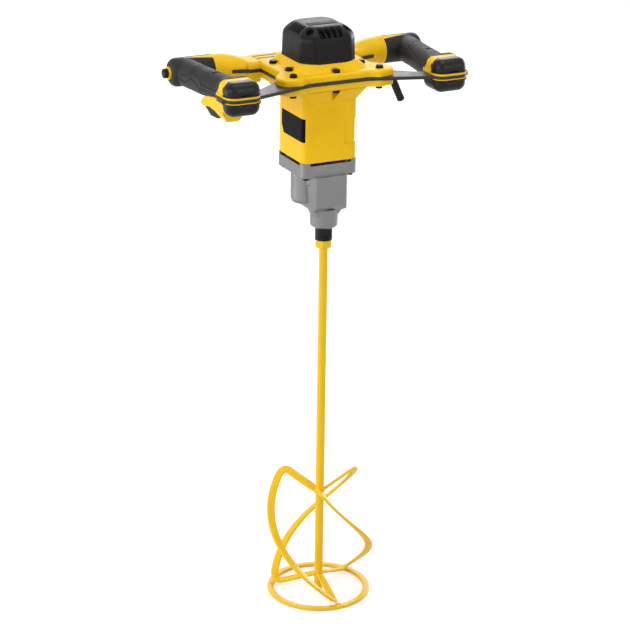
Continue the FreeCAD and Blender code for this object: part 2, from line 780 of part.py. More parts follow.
def build_gear_case(pinion_low, wheel_low):
    """Cast gear case, the carrier plate that closes it, and the four screws that hold it to the motor."""
    facet = "bell_facet"
    plan = mirrored_half([("bell_half - bell_facet * 0.65", "-bell_front"),
                          ("bell_half", f"{facet} - bell_front"),
                          ("bell_half", "bell_rear - bell_facet"), ("bell_half - bell_facet", "bell_rear")])
    bell = prism("bell_plan", plan, f"{Z_FLANGE} - {Z_BELL}", z=Z_BELL)
    rounded_edges(bell, "neck_chamfer", upright)
    side_body = new_body("bell_side")
    side = polygon(side_body, [("-bell_front - overcut", "bell_height"),
                               ("-bell_front - overcut", "bell_facet * 0.6"),
                               ("-bell_front + bell_facet * 0.4", 0), ("neck_radius", 0),
                               ("bell_rear + overcut", "bell_slope"),
                               ("bell_rear + overcut", "bell_height")], "YZ_Plane")
    sweep = pad(side_body, side, "2 * bell_half + 2 * overcut")
    sweep.Midplane = True
    place(side_body, z=Z_BELL)
    front_body = new_body("bell_face")
    waist = "(bell_half - bell_draft)"
    face = polygon(front_body, mirrored_half([(f"{waist} - bell_foot * 0.7", 0), (f"{waist} - bell_foot * 0.2",
                                             "bell_foot * 0.3"), (waist, "bell_foot"),
                                             ("bell_half", "bell_height")]), "XZ_Plane")
    depth = pad(front_body, face, "2 * bell_rear + 4 * overcut")
    depth.Midplane = True
    place(front_body, z=Z_BELL)
    bell_form = common("bell_form", bell, side_body, front_body)

    lobe_radius = "(fine_module * (wheel_teeth / 2 + 1) + gear_clearance + case_wall)"
    lobe_low = pinion_low - size("small_bearing_width") - 1 - size("case_wall")
    lobe = new_body("lobe")
    lobe_height = f"{Z_FLANGE} - {lobe_low}"
    lobe_profile = polygon(lobe, [(0, 0), (f"{lobe_radius} - 7", 0), (f"{lobe_radius} - 2", 2), (lobe_radius, 7),
                                  (lobe_radius, lobe_height), (0, lobe_height)], "XZ_Plane")
    lobe_turn = lobe.newObject("PartDesign::Revolution", "turning")
    lobe_turn.Profile = lobe_profile
    lobe_turn.ReferenceAxis = (lobe_profile, ["V_Axis"])
    place(lobe, LAY_X, LAY_Y, lobe_low)
    neck = turned("neck", [(0, 0), ("neck_radius - neck_chamfer", 0), ("neck_radius", "neck_chamfer"),
                           ("neck_radius + 1", "neck_height + overcut"), (0, "neck_height + overcut")], z=Z_NECK)
    flange = slab("flange", "flange_half", "flange_half", "flange_corner", "flange_height",
                  y="motor_offset", z=Z_FLANGE)
    casting = fuse("casting", flange, bell_form, lobe, neck)

    pocket_half = "(flange_half - case_wall)"
    pocket = slab("pocket", pocket_half, pocket_half, "flange_corner - case_wall / 2", "flange_height",
                  y="motor_offset", z=Z_CARRIER)
    output_room = "(coarse_module * (output_teeth / 2 + 1) + gear_clearance)"
    wheel_room = "(fine_module * (wheel_teeth / 2 + 1) + gear_clearance)"
    pinion_room = "(coarse_module * (pinion_teeth / 2 + 1) + gear_clearance)"
    motor_room = "(fine_module * (motor_teeth / 2 + 1) + gear_clearance)"
    gear_floor = f"({pinion_low} - gear_clearance)"
    bearing_seat = f"({Z_SPINDLE} + spindle_reach + seal_width + clip_thick)"
    rooms = [
        pocket,
        cylinder("output_room", output_room, "output_width + mesh_overlap + 2 * gear_clearance", z=gear_floor),
        cylinder("wheel_room", wheel_room, f"{Z_CARRIER} - {wheel_low} + gear_clearance", LAY_X, LAY_Y,
                 f"{wheel_low} - gear_clearance"),
        cylinder("pinion_room", pinion_room, f"{Z_CARRIER} - {gear_floor}", LAY_X, LAY_Y, gear_floor),
        cylinder("motor_room", motor_room, f"{Z_CARRIER} - {wheel_low} + mesh_overlap + gear_clearance", 0,
                 "motor_offset", f"{wheel_low} - mesh_overlap - gear_clearance"),
        cylinder("foot_seat", "layshaft_bearing_radius", f"{gear_floor} - ({lobe_low} + case_wall)", LAY_X, LAY_Y,
                 f"{lobe_low} + case_wall"),
        cylinder("seal_seat", "spindle_bearing_radius", "seal_width", z=Z_NECK),
        cylinder("throat", "spindle_radius + 0.6", "spindle_reach", z=Z_NECK),
        cylinder("bearing_bore", "spindle_bearing_radius", f"{Z_CARRIER} - {bearing_seat}", z=bearing_seat),
    ]
    half = "(vent_length / 2)"
    for sign in (-1, 1):
        rooms.append(box("front_vent", (f"-{half}", f"motor_offset + {sign} * flange_half - 6",
                                        f"{Z_MOTOR} - vent_height"), (f"2 * {half}", 12, "vent_height + 1")))
        rooms.append(box("side_vent", (f"{sign} * flange_half - 6", f"motor_offset - {half}",
                                       f"{Z_MOTOR} - vent_height"), (12, f"2 * {half}", "vent_height + 1")))
    holes = [cylinder("screw_hole", "screw_radius + seat_clearance", "flange_height + 2 * overcut", x, y,
                      f"{Z_FLANGE} - overcut")
             for x, y in corner_points("housing_half - screw_inset")]
    holes += [cylinder("head_spot", "screw_head + gear_clearance", "bell_height / 4", x, y,
                       f"{Z_FLANGE} - bell_height / 4") for x, y in corner_points("housing_half - screw_inset")]
    node(cut("case_bored", casting, *rooms, *holes), "gear_case")

    carrier_half = f"({pocket_half} - carrier_gap)"
    carrier = slab("carrier", carrier_half, carrier_half, "flange_corner - case_wall / 2", "plate_depth",
                   y="motor_offset", z=Z_CARRIER)
    bores = [
        cylinder("tip_seat", "tip_bearing_radius", "small_bearing_width", z=Z_CARRIER),
        cylinder("tip_clear", "tip_bearing_radius - 2", "plate_depth - 1.5", z=Z_CARRIER),
        cylinder("head_seat", "layshaft_bearing_radius", "small_bearing_width", LAY_X, LAY_Y, Z_CARRIER),
        cylinder("head_clear", "layshaft_radius + 1", "plate_depth - 1.5", LAY_X, LAY_Y, Z_CARRIER),
        cylinder("motor_seat", "armature_bearing_radius", "bearing_width", 0, "motor_offset",
                 f"{Z_CARRIER} + plate_depth - bearing_width"),
        cylinder("motor_clear", motor_room, "plate_depth + 2 * overcut", 0, "motor_offset",
                 f"{Z_CARRIER} - overcut"),
    ]
    corner_reliefs = [cylinder("screw_relief", "screw_radius + 1", "plate_depth + 2 * overcut", x, y,
                               f"{Z_CARRIER} - overcut")
                      for x, y in corner_points("housing_half - screw_inset")]
    node(cut("carrier_bored", carrier, *bores, *corner_reliefs), "gear_carrier_plate")
    screws = []
    for x, y in corner_points("housing_half - screw_inset"):
        length = "flange_height + panel_low"
        screws.append(turned("case_screw", [(0, 0), ("screw_head", 0), ("screw_head", "screw_head"),
                                            ("screw_radius", "screw_head"),
                                            ("screw_radius", f"screw_head + {length}"),
                                            (0, f"screw_head + {length}")], x, y, f"{Z_FLANGE} - screw_head"))
    node(group("case_screw_set", screws), "gear_case_screws")


def corner_points(reach):
    """The four corners of a square about the motor axis, as formulas."""
    return [(f"{a} * ({reach})", f"motor_offset + {b} * ({reach})") for a in (-1, 1) for b in (-1, 1)]


def octagon(half, chamfer):
    """Outline of a square about the origin with cut corners."""
    near = f"({half} - {chamfer})"
    return [(near, f"-({half})"), (half, f"-{near}"), (half, near), (near, half), (f"-{near}", half),
            (f"-({half})", near), (f"-({half})", f"-{near}"), (f"-{near}", f"-({half})")]


def build_motor(wheel_low, toward_motor):
    """Motor housing, field, armature with pinion and fan, brush gear, bearings and the upper bracket."""
    shell = slab("housing_block", "housing_half", "housing_half", "housing_corner", "housing_height",
                 y="motor_offset", z=Z_MOTOR)
    inner_half = "(housing_half - housing_wall)"
    cavity = prism("housing_cavity", octagon(inner_half, "housing_chamfer"), "housing_height + 2 * overcut",
                   y="motor_offset", z=f"{Z_MOTOR} - overcut")
    skin = slab("panel_skin", "housing_half + overcut", "housing_half + overcut", "housing_corner + overcut",
                "panel_high - panel_low", y="motor_offset", z=f"{Z_MOTOR} + panel_low")
    kept = slab("panel_kept", "housing_half - panel_depth", "housing_half - panel_depth",
                "housing_corner - panel_depth", "panel_high - panel_low + 2 * overcut", y="motor_offset",
                z=f"{Z_MOTOR} + panel_low - overcut")
    side = box("panel_side",
               ("housing_half / 2", "motor_offset - housing_half - 2 * overcut", f"{Z_MOTOR} + panel_low"),
               ("housing_half", "2 * housing_half + 4 * overcut", "panel_high - panel_low"))
    panel = common("panel", cut("panel_ring", skin, kept), side)
    holes = [cylinder("housing_hole", "screw_radius + seat_clearance", "panel_low + 2 * overcut", x, y,
                      f"{Z_MOTOR} - overcut")
             for x, y in corner_points("housing_half - screw_inset")]
    node(cut("housing_bored", shell, cavity, panel, *holes), "motor_housing")

    core_low = f"({Z_MOTOR} + core_low)"
    stator_half = f"({inner_half} - seat_clearance)"
    stack = prism("stator_block", octagon(stator_half, "housing_chamfer"), "core_length + 4", y="motor_offset",
                  z=f"{core_low} - 2")
    bore = cylinder("stator_bore", "armature_radius + air_gap", "core_length + 6 * overcut", 0, "motor_offset",
                    f"{core_low} - 3 * overcut")
    window_in = "(armature_radius + air_gap + 2)"
    windows = [box("window", (f"{sign} * ({window_in} + coil_width / 2) - coil_width / 2",
                              "motor_offset - coil_length / 2", f"{core_low} - 3 * overcut"),
                   ("coil_width", "coil_length", "core_length + 6 * overcut")) for sign in (-1, 1)]
    node(cut("stator_stack", stack, bore, *windows), "stator_core")
    gap = "carrier_gap"
    coils = [box("coil", (f"{sign} * ({window_in} + coil_width / 2) - coil_width / 2 + {gap}",
                          f"motor_offset - coil_length / 2 + {gap}", f"{core_low} - winding_height"),
                 (f"coil_width - 2 * {gap}", f"coil_length - 2 * {gap}", "core_length + 2 * winding_height"))
             for sign in (-1, 1)]
    node(group("coil_pair", coils), "field_coils")

    build_armature(core_low, wheel_low, toward_motor)
    build_brush_gear()


def build_armature(core_low, wheel_low, toward_motor):
    """Armature shaft with its pinion, slotted core, windings, commutator and fan."""
    pinion_pitch = 360 / round(size("motor_teeth"))
    pinion_base = wheel_low - size("mesh_overlap")
    pinion = gear(size("motor_teeth"), size("fine_module"), size("wheel_width + 2 * mesh_overlap"), 0,
                  toward_motor + 180 + pinion_pitch / 2, pinion_base)
    shaft_top = size(f"{Z_LEDGE} + bracket_boss - gear_clearance")
    bar = Part.makeCylinder(size("armature_shaft"), shaft_top - pinion_base, Vector(0, 0, pinion_base))
    shaft = bar.fuse(pinion).removeSplitter()
    shaft.translate(Vector(0, size("motor_offset"), 0))
    node(made("armature_bar", shaft), "armature_shaft")

    seat = "(armature_shaft + seat_clearance)"
    core = turned("armature_stack", [(seat, 0), ("armature_radius", 0), ("armature_radius", "core_length"),
                                     (seat, "core_length")], y="motor_offset", z=core_low)
    doc.recompute()
    slot = polygon(core, [("armature_radius - slot_depth", "-slot_width / 2"),
                          ("armature_radius + overcut", "-slot_width / 2"),
                          ("armature_radius + overcut", "slot_width / 2"),
                          ("armature_radius - slot_depth", "slot_width / 2")])
    pocket = core.newObject("PartDesign::Pocket", "slot")
    pocket.Profile = slot
    pocket.Reversed = True
    bind(pocket, Length="core_length")
    doc.recompute()
    ring = core.newObject("PartDesign::PolarPattern", "slots")
    ring.Originals = [pocket]
    ring.Axis = (slot, ["N_Axis"])
    ring.Angle = 360
    ring.Occurrences = round(size("slot_count"))
    core.Tip = ring
    node(core, "armature_core")

    turns = [turned("end_turns", [(seat, 0), ("winding_radius - 3", 0), ("winding_radius", 3),
                                  ("winding_radius", "winding_height - seat_clearance"),
                                  (seat, "winding_height - seat_clearance")], y="motor_offset", z=low, turn=flip)
             for low, flip in ((f"{core_low} - winding_height", None),
                               (f"{core_low} + core_length + winding_height", Rotation(Vector(1, 0, 0), 180)))]
    node(group("end_turn_pair", turns), "armature_winding")
    commutator_low = f"({Z_LEDGE} - holder_wall - brush_height / 2 - commutator_length / 2 - 1)"
    copper = turned("copper", [(seat, 0), ("commutator_radius", 0), ("commutator_radius", "commutator_length - 1"),
                               ("commutator_radius - 1", "commutator_length"), (seat, "commutator_length")],
                    y="motor_offset", z=commutator_low)
    node(copper, "commutator")

    fan_low = f"({Z_MOTOR} - vent_height + fan_low)"
    node(made("fan", fan_shape(size(fan_low))), "cooling_fan")


def fan_shape(low):
    """A radial fan: a disc on a hub, with straight blades raised from its upper face."""
    radius, height, hub = size("fan_radius"), size("fan_height"), size("armature_shaft + fan_hub")
    thick, over = size("fan_blade"), size("overcut")
    bore = size("armature_shaft + seat_clearance")
    disc = Part.makeCylinder(radius, size("fan_disc"), Vector(0, 0, low))
    blank = disc.fuse(Part.makeCylinder(hub, height, Vector(0, 0, low)))
    count = round(size("fan_blades"))
    blades = []
    for index in range(count):
        start = Vector(hub + 4 * over, -thick / 2, low + over)
        blade = Part.makeBox(radius - hub - 6 * over, thick, height - over, start)
        blade.rotate(Vector(), Vector(0, 0, 1), 360 * index / count)
        blades.append(blade)
    eye = Part.makeCylinder(bore, height + 2 * over, Vector(0, 0, low - over))
    fan = blank.fuse(blades).cut(eye).removeSplitter()
    fan.translate(Vector(0, size("motor_offset"), 0))
    return fan


def build_brush_gear():
    """Armature bearings, the upper bracket on the hub's ledge, brush holders, brushes, baffle and electronics."""
    node(bearing("drive_bearing", "armature_shaft", "armature_bearing_radius", "bearing_width", 0, "motor_offset",
                 f"{Z_CARRIER} + plate_depth - bearing_width"), "armature_lower_bearing")
    half = "(bore_half - carrier_gap)"
    web = prism("bracket_web", octagon(half, "housing_chamfer"), "bracket_thick", y="motor_offset", z=Z_LEDGE)
    boss = cylinder("bracket_boss", "armature_bearing_radius + 4", "bracket_boss", 0, "motor_offset", Z_LEDGE)
    seat_low = f"({Z_LEDGE} + 2)"
    tools = [cylinder("top_seat", "armature_bearing_radius", "bearing_width", 0, "motor_offset", seat_low),
             cylinder("top_clear", "armature_shaft + 1.5", "bracket_boss + 2 * overcut", 0, "motor_offset",
                      f"{Z_LEDGE} - overcut")]
    tools += [cylinder("air_hole", "bracket_boss * 0.6", "bracket_thick + 2 * overcut",
                       f"{x} * {half} * 0.66", f"motor_offset + {y} * {half} * 0.66", f"{Z_LEDGE} - overcut")
              for x, y in ((0, 1), (0, -1), (0.72, 0.72), (-0.72, 0.72), (0.72, -0.72), (-0.72, -0.72))]
    node(cut("bracket_bored", fuse("bracket", web, boss), *tools), "armature_bracket")
    node(bearing("rear_bearing", "armature_shaft", "armature_bearing_radius", "bearing_width", 0, "motor_offset",
                 seat_low), "armature_upper_bearing")

    brush_in = "(commutator_radius + run_clearance)"
    brush_low = f"({Z_LEDGE} - holder_wall - brush_height - 1)"
    holders, brushes = [], []
    for sign in (-1, 1):
        middle = f"{sign} * ({brush_in} + brush_length / 2)"
        brushes.append(box("brush", (f"{middle} - brush_length / 2", "motor_offset - brush_width / 2", brush_low),
                           ("brush_length", "brush_width", "brush_height")))
        start = f"{sign} * ({brush_in} + 2.5 + brush_length / 2) - brush_length / 2"
        outer = box("holder_outer", (start, "motor_offset - brush_width / 2 - holder_wall",
                                     f"{brush_low} - holder_wall"),
                    ("brush_length", "brush_width + 2 * holder_wall", "brush_height + 2 * holder_wall + 1"))
        room = box("holder_room", (f"{start} - 10", "motor_offset - brush_width / 2 - run_clearance",
                                   f"{brush_low} - run_clearance"),
                   ("brush_length + 20", "brush_width + 2 * run_clearance", "brush_height + 2 * run_clearance"))
        holders.append(cut("holder", outer, room))
    node(group("holder_pair", holders), "brush_holders")
    node(group("brush_pair", brushes), "carbon_brushes")

    baffle_low = f"({Z_MOTOR} - vent_height + fan_low + fan_height + 1)"
    inner_half = "(housing_half - housing_wall - seat_clearance)"
    sheet_ring = prism("baffle_sheet", octagon(inner_half, "housing_chamfer"), "baffle_thick", y="motor_offset",
                       z=baffle_low)
    eye = cylinder("baffle_eye", "fan_radius * 0.6", "baffle_thick + 2 * overcut", 0, "motor_offset",
                   f"{baffle_low} - overcut")
    node(cut("baffle", sheet_ring, eye), "fan_baffle")
    electronics = slab("electronics", "module_half", "module_half", 4, "module_height", y="motor_offset",
                       z=f"{Z_LEDGE} + bracket_boss")
    node(electronics, "speed_control_module")


BOLT_PLACES = [("lobe_bolt_x", "-lobe_bolt_y"), ("-lobe_bolt_x", "-lobe_bolt_y"), (0, "-mid_bolt_y"),
               ("inner_bolt_x", "inner_bolt_y"), ("-inner_bolt_x", "inner_bolt_y"),
               ("rear_bolt_x", "rear_bolt_y"), ("-rear_bolt_x", "rear_bolt_y")]


def build_bar():
    """The steel bar: a plate between the hub shells, with arms to both hand guards and tongues into the handles."""
    tongue = "arm_mid_y - arm_mid_depth - bar_proud"
    foot_front = "arm_root_y - arm_root_depth - bar_proud"
    half = [("bar_bend", "-bar_front"), ("end_x - end_half", "-bar_end_front"), ("bar_reach", "-bar_end_front"),
            ("bar_reach", "bar_width - bar_end_front"), ("end_x - end_half / 2", "bar_width - bar_end_front"),
            ("end_x - 1.6 * end_half", "bar_width - bar_end_front + 8"),
            ("lobe_reach + 2", "-lobe_bolt_y / 2 - 2"), ("hub_half + bar_proud", "inner_bolt_y"),
            ("hub_half + bar_proud", foot_front), ("hub_half + arm_foot - arm_foot_round", foot_front),
            ("arm_mid_x", tongue),
            ("tongue_reach", f"{tongue} + bar_proud"), ("tongue_reach", "hub_rear - 6"),
            ("rear_bolt_x", "hub_rear - 6")]
    plate = prism("bar_plate", mirrored_half(half), "bar_thick", z=Z_BAR)
    reach = size("bar_reach")
    rounded_edges(plate, "bar_end_corner",
                  lambda edge: upright(edge) and abs(abs(edge.Vertexes[0].X) - reach) < 1e-4)
    window = slab("bar_window", "bore_half - ledge_width", "bore_half - ledge_width", 12, "bar_thick + 2 * overcut",
                  y="motor_offset", z=f"{Z_BAR} - overcut")
    holes = [cylinder("bar_hole", "bolt_hole", "bar_thick + 2 * overcut", x, y, f"{Z_BAR} - overcut")
             for x, y in BOLT_PLACES]
    return node(cut("bar_drilled", plate, window, *holes), "frame_bar")


def hub_outline():
    """Plan of the hub, with its front lobes."""
    return mirrored_half([("bar_bend + 4", "-hub_front"), ("bar_bend + 16", "-lobe_front"),
                          ("lobe_reach - 7", "4 - lobe_front"), ("lobe_reach", "-lobe_bolt_y + 4"),
                          ("lobe_reach - 5", "-lobe_bolt_y / 2 + 3"), ("hub_half", "inner_bolt_y - 1"),
                          ("hub_half", "hub_rear")])


def build_hub():
    """The two hub shells that clamp the bar, with their bolts and nuts.

    The lower one flares out of the housing and has a tapered pocket in front for the middle nut.
    """
    deck = prism("deck", hub_outline(), "deck_height", z=Z_DECK)
    rounded_edges(deck, "hub_corner", upright)
    rounded_edges(deck, "hub_edge", edge_at("deck_height"))
    skirt = tapered("skirt", ("skirt_half", "flare_corner"), ("collar_half", "flare_corner"),
                    "collar_rise", y="motor_offset", z=Z_RIM)
    throat = prism("deck_throat", octagon("cap_half - cap_wall", "cap_room_chamfer"),
                   "deck_height + collar_rise + 2 * overcut", y="motor_offset", z=f"{Z_DECK} - overcut")
    holes = [cylinder("deck_hole", "bolt_hole", "deck_height + collar_rise", x, y, f"{Z_DECK} - overcut")
             for x, y in BOLT_PLACES]
    spots = [cylinder("deck_spot", "bolt_flange + spot_gap", "collar_rise + 2 * overcut", x, y, Z_RIM)
             for x, y in BOLT_PLACES]
    cap_holes = [cylinder("cap_tap", "screw_radius + seat_clearance", "collar_rise", x, y, f"{Z_RIM} + 1")
                 for x, y in corner_points("cap_half - cap_screw_inset")]
    wires = [cylinder("deck_wire", "wire_radius", "hub_half", x, "elbow_y - 4", Z_GRIP, ALONG_X)
             for x in ("bore_half - 6", "-hub_half - bore_half + 6")]
    node(cut("upper_bored", fuse("upper_form", deck, skirt), throat, *holes, *spots, *cap_holes, *wires),
         "hub_upper_shell")

    flare = tapered("flare", ("housing_half + 0.6", "housing_corner"), ("flare_half", "flare_corner"),
                    "flare_height", y="motor_offset", z=Z_HUB)
    base = prism("base", hub_outline(), "slab_depth", z=f"{Z_BAR} - slab_depth")
    rounded_edges(base, "hub_corner", upright)
    rounded_edges(base, "hub_edge", edge_at(0))
    low_bore = slab("low_bore", "bore_half - ledge_width", "bore_half - ledge_width", 12,
                    "hub_low_height + 2 * overcut", y="motor_offset", z=f"{Z_HUB} - overcut")
    high_bore = prism("high_bore", octagon("bore_half", "housing_chamfer"), "hub_low_height", y="motor_offset",
                      z=Z_LEDGE)
    base_holes = [cylinder("base_hole", "bolt_hole", "hub_low_height", x, y, f"{Z_HUB} + 1")
                  for x, y in BOLT_PLACES]
    nut_low = f"({Z_BAR} - slab_depth)"
    nut_spots = [cylinder("nut_spot", "bolt_flange + spot_gap", "hub_low_height", x, y,
                          f"{nut_low} - hub_low_height")
                 for x, y in BOLT_PLACES if x != 0]
    pocket_body = new_body("nut_pocket")
    pocket = polygon(pocket_body, mirrored_half([("pocket_apex", Z_HUB),
                                                 ("pocket_half", f"{nut_low} - pocket_straight"),
                                                 ("pocket_half", nut_low)]), "XZ_Plane")
    pocket_pad = pad(pocket_body, pocket, "2 * mid_bolt_y")
    pocket_pad.Midplane = True
    place(pocket_body, y="motor_offset - housing_half - pocket_wall - mid_bolt_y")
    lead = ("sleeve_y", f"{Z_BAR} - sleeve_drop", ALONG_X)
    boss = cylinder("gland_boss", "sleeve_radius + gland_wall", "lobe_reach - 8 - flare_half + gland_wall",
                    "flare_half - gland_wall", *lead)
    gland = cylinder("gland", "sleeve_radius + seat_clearance", "hub_half", "hub_half - sleeve_grip", *lead)
    lead_way = cylinder("lead_way", "sleeve_bore", "hub_half - bore_half", "bore_half - ledge_width", *lead)
    base_wires = [cylinder("base_wire", "wire_radius", "hub_half", x, "elbow_y - 4", Z_GRIP, ALONG_X)
                  for x in ("bore_half - 6", "-hub_half - bore_half + 6")]
    node(cut("lower_bored", fuse("lower_form", flare, base, boss), low_bore, high_bore, *base_holes, *nut_spots,
             pocket_body, gland, lead_way, *base_wires), "hub_lower_shell")

    bolts, nuts = [], []
    for x, y in BOLT_PLACES:
        stem_low = f"({nut_low} - nut_height)"
        stem = cylinder("bolt_stem", "bolt_radius", f"{Z_RIM} - {stem_low}", x, y, stem_low)
        washer = cylinder("bolt_washer", "bolt_flange", "bolt_flange_height", x, y, Z_RIM)
        head = doc.addObject("Part::Prism", "bolt_hexagon")
        head.Polygon = 6
        bind(head, Circumradius="bolt_head / sqrt(3)", Height="bolt_head_height")
        place(head, x, y, Z_RIM)
        bolts.append(fuse("bolt", stem, washer, head))
        nut = doc.addObject("Part::Prism", "nut_hexagon")
        nut.Polygon = 6
        bind(nut, Circumradius="bolt_head / sqrt(3)", Height="nut_height")
        place(nut, x, y, stem_low)
        eye = cylinder("nut_eye", "bolt_radius + seat_clearance", "nut_height + 2 * overcut", x, y,
                       f"{stem_low} - overcut")
        nuts.append(cut("nut", nut, eye))
    node(group("bolt_set", bolts), "hub_bolts")
    node(group("nut_set", nuts), "hub_nuts")


def build_cap():
    """The motor cap with its sloped shoulders, air slots and sunk screws."""
    wall = prism("cap_wall_block", octagon("cap_half", "cap_chamfer"), "cap_wall_height", y="motor_offset", z=Z_CAP)
    crown = crowned("cap_crown", "cap_half", "cap_chamfer", "cap_slope_height")
    room = prism("cap_room", octagon("cap_half - cap_wall", "cap_room_chamfer"), "cap_wall_height + overcut",
                 y="motor_offset", z=f"{Z_CAP} - overcut")
    attic = crowned("cap_attic", "(cap_half - cap_wall)", "cap_room_chamfer", "(cap_slope_height - cap_wall)")
    tools = [room, attic]
    seat = f"({Z_CAP} + cap_screw_seat)"
    places = corner_points("cap_half - cap_screw_inset")
    tools += [cylinder("cap_well", "cap_hole", "cap_wall_height + cap_slope_height", x, y, seat) for x, y in places]
    tools += [cylinder("cap_way", "screw_radius + seat_clearance", "cap_wall_height", x, y, f"{Z_CAP} - overcut")
              for x, y in places]
    pitch = "(front_slot_width + front_rib)"
    for index in range(4):
        tools.append(box("front_slot", (f"({index} - 2) * {pitch} + front_rib / 2",
                                        "motor_offset - cap_half - overcut", f"{Z_SHOULDER} + 1"),
                         ("front_slot_width", "cap_slope_inset + 1", "cap_slope_height - 2")))
    side_pitch = "(side_slot_width + side_slot_gap)"
    for sign in (-1, 1):
        for index in range(4):
            tools.append(box("side_slot", (f"{sign} * (cap_half - cap_slope_inset / 2) - cap_slope_inset / 2 - 1",
                                           f"motor_offset + ({index} - 2) * {side_pitch}", f"{Z_SHOULDER} + 2"),
                             ("cap_slope_inset + 2", "side_slot_width", "cap_slope_height - 4")))
    node(cut("cap_cut", fuse("cap_form", wall, crown), *tools), "motor_cap")
    length = f"{seat} - {Z_RIM} - 2"
    screws = [turned("cap_screw", [(0, 0), ("screw_radius", 0), ("screw_radius", length), ("screw_head", length),
                                   ("screw_head", f"{length} + 3"), (0, f"{length} + 3")], x, y, f"{Z_RIM} + 2")
              for x, y in places]
    node(group("cap_screw_set", screws), "cap_screws")


# The crown's rounded shoulder, as shares of its height and of its inset.
CROWN_STEPS = ((0, 0), (0.24, 0.03), (0.46, 0.12), (0.64, 0.28), (0.82, 0.58), (0.95, 0.86), (1, 1))


def crowned(name, half, chamfer, height):
    """The cap's top: a stack of octagons that draw in faster the higher they lie."""
    body = new_body(name)
    rings = []
    for rise, inset in CROWN_STEPS:
        ring = polygon(body, octagon(f"({half} - {inset} * cap_slope_inset)", f"({chamfer} * (1 - 0.4 * {inset}))"))
        bind(ring, AttachmentOffset__Base__z=f"{rise} * {height}")
        rings.append(ring)
    loft = body.newObject("PartDesign::AdditiveLoft", "loft")
    loft.Profile = rings[0]
    loft.Sections = rings[1:]
    loft.Ruled = True
    return place(body, 0, "motor_offset", Z_SHOULDER)


def ellipse(name, across, rise, x, y, z):
    """A section of the arm: an ellipse in the plane of Y and Z."""
    section = doc.addObject("Part::Ellipse", name)
    section.Placement = FreeCAD.Placement(Vector(), ACROSS_X)
    bind(section, MajorRadius=across, MinorRadius=rise)
    return place(section, x, y, z)


def along_grip(reach):
    """A point on the right grip's axis at a distance from the elbow, as x and y formulas."""
    return f"(grip_root_x - ({reach}) * sin(grip_toe))", f"(elbow_y - ({reach}) * cos(grip_toe))"


def grip_turn():
    """The turn that lays a cylinder's axis along the right grip, pointing to the front."""
    toe = math.radians(size("grip_toe"))
    return Rotation(Vector(0, 0, 1), Vector(-math.sin(toe), -math.cos(toe), 0))


